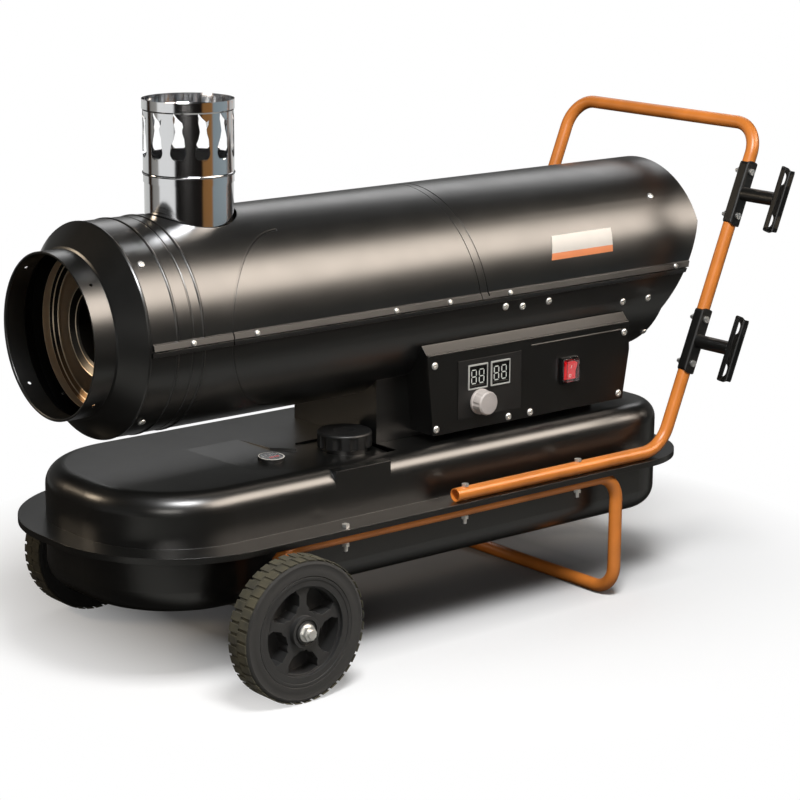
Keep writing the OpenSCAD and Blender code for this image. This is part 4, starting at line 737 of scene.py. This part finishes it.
def figure_bar(finish):
    """One bar of a figure: a thin strip with pointed ends."""
    bm = bmesh.new()
    low, top = [[bm.verts.new((u * MM, v * MM, h * MM)) for u, v in BAR_OUTLINE]
                for h in (-BAR_HALF, BAR_HALF)]
    bm.faces.new(low)
    bm.faces.new(top)
    for i in range(6):
        bm.faces.new((low[i], low[(i + 1) % 6], top[(i + 1) % 6], top[i]))
    return new_piece("bar", bm, finish)


class HEATER_OT_figures(bpy.types.Operator):
    """Lay the bars of the figures on the displays and set a pale rim round each"""

    bl_idname = "heater.figures"
    bl_label = "Display figures"

    def execute(self, context):
        glowing_bars = material("figure bars")
        bars = []
        for x in DISPLAYS:
            for digit in (-1, 1):
                for across, up, upright in BARS:
                    spot = at(x + digit * FIGURE_X + across * BAR_X, DISPLAY_FACE_Y - BAR_HALF,
                              DISPLAY_Z + up * BAR_Z)
                    bars.append((spot, Vector((0, -1, 0)), math.pi / 2 * upright))
        bar = figure_bar(glowing_bars)
        figures = set_out("display_figures", bars, bar, glowing_bars)
        bpy.data.objects.remove(bar)
        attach(figures, "heater")
        bm = bmesh.new()
        for x in DISPLAYS:
            join_rings(bm, [[bm.verts.new(at(x + sx * w, PANEL_BACK_Y - off, DISPLAY_Z + sz * h))
                             for sx, sz in CORNERS] for (w, h), off in RIM_SECTION])
        bmesh.ops.bevel(bm, geom=bm.edges[:], offset=RIM_EDGE * MM, segments=1, affect="EDGES")
        rims = new_piece("display_rims", bm, material("display frame"))
        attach(rims, "heater")
        return {"FINISHED"}


# Rocker

# the rocker's face rests 10 degrees over, and its two halves lean towards the middle
ROCKER_REST = math.radians(10)
ROCKER_LEAN = math.atan2(1.7, 12.6)
MARK_UP, MARK_OUT = 7.0, 7.85
MARK_BAR = (1.0, 5.0, 0.3)
MARK_RING = [(1.7, -0.15), (2.5, -0.15), (2.5, 0.15), (1.7, 0.15)]


class HEATER_OT_rocker_marks(bpy.types.Operator):
    """Inlay the plain bar and ring on the rocker's face"""

    bl_idname = "heater.rocker_marks"
    bl_label = "Rocker marks"

    def execute(self, context):
        face = Matrix.Translation(JOINTS["rocker_tilt"]) @ Matrix.Rotation(math.pi / 2 + ROCKER_REST, 4, "X")
        low, high = [face @ Matrix.Translation((0, end * MARK_UP * MM, MARK_OUT * MM))
                     @ Matrix.Rotation(end * ROCKER_LEAN, 4, "X") for end in (-1, 1)]
        bm = bmesh.new()
        block(bm, MARK_BAR, high)
        lathe(bm, MARK_RING, 28, low)
        marks = smooth(new_piece("rocker_marks", bm, material("mark white")))
        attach(marks, "rocker")
        return {"FINISHED"}


# Fuel gauge

# the dial leans this many degrees to the near side, about the needle's pivot
GAUGE_TILT = 2.5
GAUGE_RING = [(17.2, 4.98), (18.6, 4.98), (18.6, 5.2), (17.2, 5.2)]
TICKS = 9
TICKS_FROM, TICKS_SPAN = -30, 240
TICK_R, TICK_UP = 13.4, 1.62
TICK = (4.2, 1.3, 0.2)


class HEATER_OT_gauge_marks(bpy.types.Operator):
    """Lay the pale ring round the fuel gauge and the marks on its dial"""

    bl_idname = "heater.gauge_marks"
    bl_label = "Gauge marks"

    def execute(self, context):
        white = material("mark white")
        dial = Matrix.Translation(JOINTS["needle_swing"]) @ Matrix.Rotation(math.radians(GAUGE_TILT), 4, "X")
        facing = dial.to_3x3() @ Vector((0, 0, 1))
        places = []
        for i in range(TICKS):
            a = math.radians(TICKS_FROM + TICKS_SPAN * i / (TICKS - 1))
            spot = Vector((TICK_R * math.cos(a), TICK_R * math.sin(a), TICK_UP)) * MM
            places.append((dial @ spot, facing, a))
        bm = bmesh.new()
        block(bm, TICK, Matrix.Identity(4))
        tick = new_piece("tick", bm, white)
        ticks = set_out("gauge_ticks", places, tick, white)
        bpy.data.objects.remove(tick)
        bm = bmesh.new()
        lathe(bm, GAUGE_RING, 64, dial)
        marks = join("gauge_marks", [smooth(new_piece("gauge_ring", bm, white)), ticks])
        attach(marks, "heater")
        return {"FINISHED"}


# Sticker

# upper and lower edge: from and to behind the axle, and angle above the near side
STICKER_TOP = (569, 690, 28.5)
STICKER_LOW = (558, 683, 14.4)
# how far its two faces stand off the barrel
STICKER_UNDER, STICKER_OVER = 0.05, 0.3
# faces along and down, and the row from which it is orange
STICKER_ALONG, STICKER_DOWN, STICKER_SPLIT = 16, 11, 8


class HEATER_OT_sticker(bpy.types.Operator):
    """Lay the bare two coloured sticker round the barrel's side"""

    bl_idname = "heater.sticker"
    bl_label = "Bare sticker"

    def execute(self, context):
        along, down = STICKER_ALONG, STICKER_DOWN
        bm = bmesh.new()
        sheets = []
        for radius in (BARREL_R + STICKER_UNDER, BARREL_R + STICKER_OVER):
            rows = []
            for j in range(down + 1):
                t = j / down
                start, end, angle = [top * (1 - t) + low * t for top, low in zip(STICKER_TOP, STICKER_LOW)]
                y = -radius * math.cos(math.radians(angle))
                z = BARREL_Z + radius * math.sin(math.radians(angle))
                step = (end - start) / along
                rows.append([bm.verts.new(at(start + step * i, y, z)) for i in range(along + 1)])
            sheets.append(rows)
        for rows in sheets:
            for j in range(down):
                for i in range(along):
                    face = bm.faces.new((rows[j][i], rows[j][i + 1], rows[j + 1][i + 1], rows[j + 1][i]))
                    face.material_index = int(j >= STICKER_SPLIT)
        under, over = sheets
        rim = ([(0, i) for i in range(along)] + [(j, along) for j in range(down)]
               + [(down, i) for i in range(along, 0, -1)] + [(j, 0) for j in range(down, 0, -1)])
        for (j, i), (k, m) in zip(rim, rim[1:] + rim[:1]):
            face = bm.faces.new((under[j][i], under[k][m], over[k][m], over[j][i]))
            face.material_index = int(min(j, k) >= STICKER_SPLIT)
        sticker = smooth(new_piece("sticker", bm, material("sticker white"), material("sticker orange")))
        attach(sticker, "heater")
        return {"FINISHED"}


# Stage

# angles in degrees, lens and place in millimetres
CAMERA = {"azimuth": -39.64, "elevation": 13.73, "roll": 0.42, "lens": 112.07,
          "place": (-1914.61, -2779.40, 1189.15)}

# Cards round the room, which bright sheet shows as upright bands. Each starts at an
# angle about the vertical, counted from the heater's rear end towards its far side.
CARDS = [(-180, "#F4F4F2"), (-162, "#F4F4F2"), (-158, "#0C0B0A"), (-91, "#14110F"), (-88, "#8A6238"),
         (-63, "#94693C"), (-60, "#8A979C"), (-10, "#9AA5A9"), (-5, "#6B4A2C"), (2, "#C9C9C6"),
         (50, "#D8D8D6"), (112, "#CFCFCC"), (115, "#2A1D14"), (126, "#2A1D14"), (130, "#8B8985"),
         (151, "#9B9994"), (156, "#F4F4F2"), (180, "#F4F4F2")]

# Heights in the room are sines of the angle above the horizon. The cards are bright
# below it and dim above, and a dark ceiling takes over higher up.
CARDS_BRIGHT, CARDS_DIM = -0.09, -0.04
CARDS_DIMMED_TO = 0.13
CEILING_FROM, CEILING_FULL = 0.3, 0.5
CEILING = "#242322"
FILL = "#303030"

# The long soft box that draws the streak along the barrel stands so far off that it is
# a patch of the room: from and to in degrees about the vertical, low and high as sines.
STREAK = {"from": -80, "to": -28, "low": 0.39, "high": 0.75, "strength": 12.4, "colour": "#FFF0E0"}
# softness of its edges, as a share of the whole turn and as a sine
STREAK_SOFT_TURN, STREAK_SOFT_HEIGHT = 0.012, 0.05

# name, place, aim, width, height, power, colour, in metres and watts
LAMPS = [("key box", (-0.8, -1.45, 2.5), (0.0, 0.0, 0.1), 0.9, 0.7, 88, "#FFFFFF"),
         ("low box", (-1.9, -1.9, 0.95), (0.0, 0.0, 0.25), 0.9, 0.6, 10, "#FFFAF3"),
         ("mouth box", (-1.9, 1.5, 1.35), (-0.5, 0.0, 0.45), 0.5, 0.5, 12, "#FFE9CC"),
         ("far box", (1.65, 1.65, 1.95), (0.0, 0.0, 0.6), 2.4, 0.8, 11, "#FFFFFF")]

# The floor's sizes are in metres, from the heater's middle.
FLOOR_R = 3.2
FLOOR_Z = -0.0005
FLOOR_STEPS = 64
FLOOR_PALE, FLOOR_DARKER = "#F8F8F8", "#A0A0A2"
MIRRORED_DARK, MIRRORED_PALE = "#2A2928", "#9C9C98"
# edges of the pale strip that paint and bright sheet mirror: axis, start and full
MIRRORED_STRIP = [("Y", -0.16, -0.28), ("Y", -0.66, -0.54)]
# edges of a darker patch right under the tank, which deepens the shadow there
UNDER_TANK = [("Y", -0.21, -0.05), ("Y", 0.28, 0.16), ("X", -0.46, -0.16), ("X", 0.50, 0.38)]
# the floor fades to the white backdrop round this place
FADE_MIDDLE = (0.11, 0.11, 0)
FADE_FROM, FADE_FULL = 0.40, 0.77


class HEATER_OT_stage(bpy.types.Operator):
    """Set the camera, the white floor, the lamps and the world"""

    bl_idname = "heater.stage"
    bl_label = "Stage"

    def execute(self, context):
        self.camera(context.scene)
        self.world(context.scene)
        self.floor()
        for name, place, aim, wide, tall, power, code in LAMPS:
            light = bpy.data.lights.new(name, "AREA")
            light.shape = "RECTANGLE"
            light.size = wide
            light.size_y = tall
            light.energy = power
            light.color = linear(code)[:3]
            lamp = bpy.data.objects.new(name, light)
            lamp.location = place
            lamp.rotation_euler = (Vector(place) - Vector(aim)).to_track_quat("Z", "Y").to_euler()
            context.scene.collection.objects.link(lamp)
        return {"FINISHED"}

    def camera(self, scene):
        """The photograph's view."""
        a, e, r = (math.radians(CAMERA[k]) for k in ("azimuth", "elevation", "roll"))
        back = Vector((math.sin(a) * math.cos(e), -math.cos(a) * math.cos(e), math.sin(e)))
        level = Vector((math.cos(a), math.sin(a), 0))
        rise = back.cross(level)
        right = level * math.cos(r) + rise * math.sin(r)
        up = rise * math.cos(r) - level * math.sin(r)
        data = bpy.data.cameras.new("camera")
        data.lens = CAMERA["lens"]
        data.sensor_width = 36
        data.clip_end = 60
        camera = bpy.data.objects.new("camera", data)
        turned = Matrix((right, up, back)).transposed().to_4x4()
        camera.matrix_world = Matrix.Translation(at(*CAMERA["place"])) @ turned
        scene.collection.objects.link(camera)
        scene.camera = camera
        scene.view_settings.view_transform = "Standard"

    def world(self, scene):
        """White to the camera and through glass, a room of cards with one bright soft
        box for reflections, and an even dim fill for everything else."""
        world = bpy.data.worlds.new("studio")
        world.use_nodes = True
        tree = world.node_tree
        tree.nodes.clear()
        path = put(tree, "ShaderNodeLightPath").outputs
        spot = put(tree, "ShaderNodeTexCoord").outputs["Generated"]
        look = put(tree, "ShaderNodeSeparateXYZ", {0: spot}).outputs
        turn = put(tree, "ShaderNodeMath", {0: look["Y"], 1: look["X"]}, operation="ARCTAN2").outputs[0]
        # as a share of the whole way round
        turn = window(tree, [(turn, -math.pi, math.pi)])
        cards = put(tree, "ShaderNodeValToRGB", {"Fac": turn})
        stops = cards.color_ramp.elements
        for angle, code in CARDS[1:-1]:
            stops.new((angle + 180) / 360).color = linear(code)
        stops[0].color = linear(CARDS[0][1])
        stops[len(stops) - 1].color = linear(CARDS[-1][1])
        dimmed = put(tree, "ShaderNodeVectorMath", {0: cards.outputs[0], "Scale": CARDS_DIMMED_TO},
                     operation="SCALE")
        raised = window(tree, [(look["Z"], CARDS_BRIGHT, CARDS_DIM)])
        room = put(tree, "ShaderNodeMix", {"Factor": raised, "A": cards.outputs[0], "B": dimmed.outputs[0]},
                   data_type="RGBA").outputs["Result"]
        high = window(tree, [(look["Z"], CEILING_FROM, CEILING_FULL)])
        room = put(tree, "ShaderNodeMix", {"Factor": high, "A": room, "B": linear(CEILING)},
                   data_type="RGBA").outputs["Result"]
        edges = []
        for socket, low, top, soft in (
                (turn, STREAK["from"] / 360 + 0.5, STREAK["to"] / 360 + 0.5, STREAK_SOFT_TURN),
                (look["Z"], STREAK["low"], STREAK["high"], STREAK_SOFT_HEIGHT)):
            edges += [(socket, low - soft, low + soft), (socket, top + soft, top - soft)]
        bright = put(tree, "ShaderNodeVectorMath", {
            0: linear(STREAK["colour"])[:3], "Scale": STREAK["strength"]}, operation="SCALE")
        room = put(tree, "ShaderNodeMix", {"Factor": window(tree, edges), "A": room, "B": bright.outputs[0]},
                   data_type="RGBA").outputs["Result"]
        shown = put(tree, "ShaderNodeMix", {"Factor": path["Is Glossy Ray"], "A": linear(FILL), "B": room},
                    data_type="RGBA").outputs["Result"]
        shown = put(tree, "ShaderNodeMix", {"Factor": direct_rays(tree, path), "A": shown, "B": (1, 1, 1, 1)},
                    data_type="RGBA").outputs["Result"]
        shine = put(tree, "ShaderNodeBackground", {"Color": shown})
        put(tree, "ShaderNodeOutputWorld", {"Surface": shine.outputs[0]})
        scene.world = world

    def floor(self):
        """A round pale floor that takes the shadow and fades to the white backdrop. Paint
        and bright sheet mirror it as a dark studio floor with one pale strip in front."""
        tree, shader = surface("floor white", Roughness=0.7, Specular_IOR_Level=0.1)
        path = put(tree, "ShaderNodeLightPath").outputs
        spot = put(tree, "ShaderNodeTexCoord").outputs["Object"]
        spread = put(tree, "ShaderNodeSeparateXYZ", {0: spot}).outputs
        strip = window(tree, [(spread[axis], start, full) for axis, start, full in MIRRORED_STRIP])
        mirrored = put(tree, "ShaderNodeMix", {
            "Factor": strip, "A": linear(MIRRORED_DARK), "B": linear(MIRRORED_PALE)}, data_type="RGBA")
        under = window(tree, [(spread[axis], start, full) for axis, start, full in UNDER_TANK])
        plain = put(tree, "ShaderNodeMix", {
            "Factor": under, "A": linear(FLOOR_PALE), "B": linear(FLOOR_DARKER)}, data_type="RGBA")
        colour = put(tree, "ShaderNodeMix", {
            "Factor": path["Is Camera Ray"], "A": mirrored.outputs["Result"], "B": plain.outputs["Result"]},
                     data_type="RGBA")
        tree.links.new(colour.outputs["Result"], shader.inputs["Base Color"])
        away = put(tree, "ShaderNodeVectorMath", {0: spot, 1: FADE_MIDDLE}, operation="SUBTRACT")
        away = put(tree, "ShaderNodeVectorMath", {0: away.outputs[0]}, operation="LENGTH").outputs["Value"]
        fade = window(tree, [(away, FADE_FROM, FADE_FULL)])
        seen = direct_rays(tree, path)
        fade = put(tree, "ShaderNodeMath", {0: fade, 1: seen}, operation="MULTIPLY").outputs[0]
        glow = put(tree, "ShaderNodeEmission", {"Color": (1, 1, 1, 1), "Strength": 1.0}).outputs[0]
        mixed = put(tree, "ShaderNodeMixShader", {0: fade, 1: shader.outputs[0], 2: glow}).outputs[0]
        tree.links.new(mixed, tree.nodes["Material Output"].inputs["Surface"])
        bm = bmesh.new()
        turns = [2 * math.pi * i / FLOOR_STEPS for i in range(FLOOR_STEPS)]
        bm.faces.new([bm.verts.new((FLOOR_R * math.cos(a), FLOOR_R * math.sin(a), FLOOR_Z)) for a in turns])
        new_piece("floor", bm, material("floor white"))


OPERATORS = (HEATER_OT_stage, HEATER_OT_finishes, HEATER_OT_tyres, HEATER_OT_screws, HEATER_OT_figures,
             HEATER_OT_rocker_marks, HEATER_OT_gauge_marks, HEATER_OT_sticker)


class HEATER_PT_panel(bpy.types.Panel):
    """Settings and steps of the heater"""

    bl_label = "Diesel space heater"
    bl_space_type = "VIEW_3D"
    bl_region_type = "UI"
    bl_category = "Heater"

    def draw(self, context):
        for name in HeaterSettings.__annotations__:
            self.layout.prop(context.scene.heater, name)
        for operator in OPERATORS:
            self.layout.operator(operator.bl_idname)


def register():
    for cls in (HeaterSettings, *OPERATORS, HEATER_PT_panel):
        bpy.utils.register_class(cls)
    bpy.types.Scene.heater = PointerProperty(type=HeaterSettings)


def unregister():
    del bpy.types.Scene.heater
    for cls in (HEATER_PT_panel, *reversed(OPERATORS), HeaterSettings):
        bpy.utils.unregister_class(cls)


def main():
    register()
    for operator in OPERATORS:
        group, name = operator.bl_idname.split(".")
        getattr(getattr(bpy.ops, group), name)()


if __name__ == "__main__":
    main()
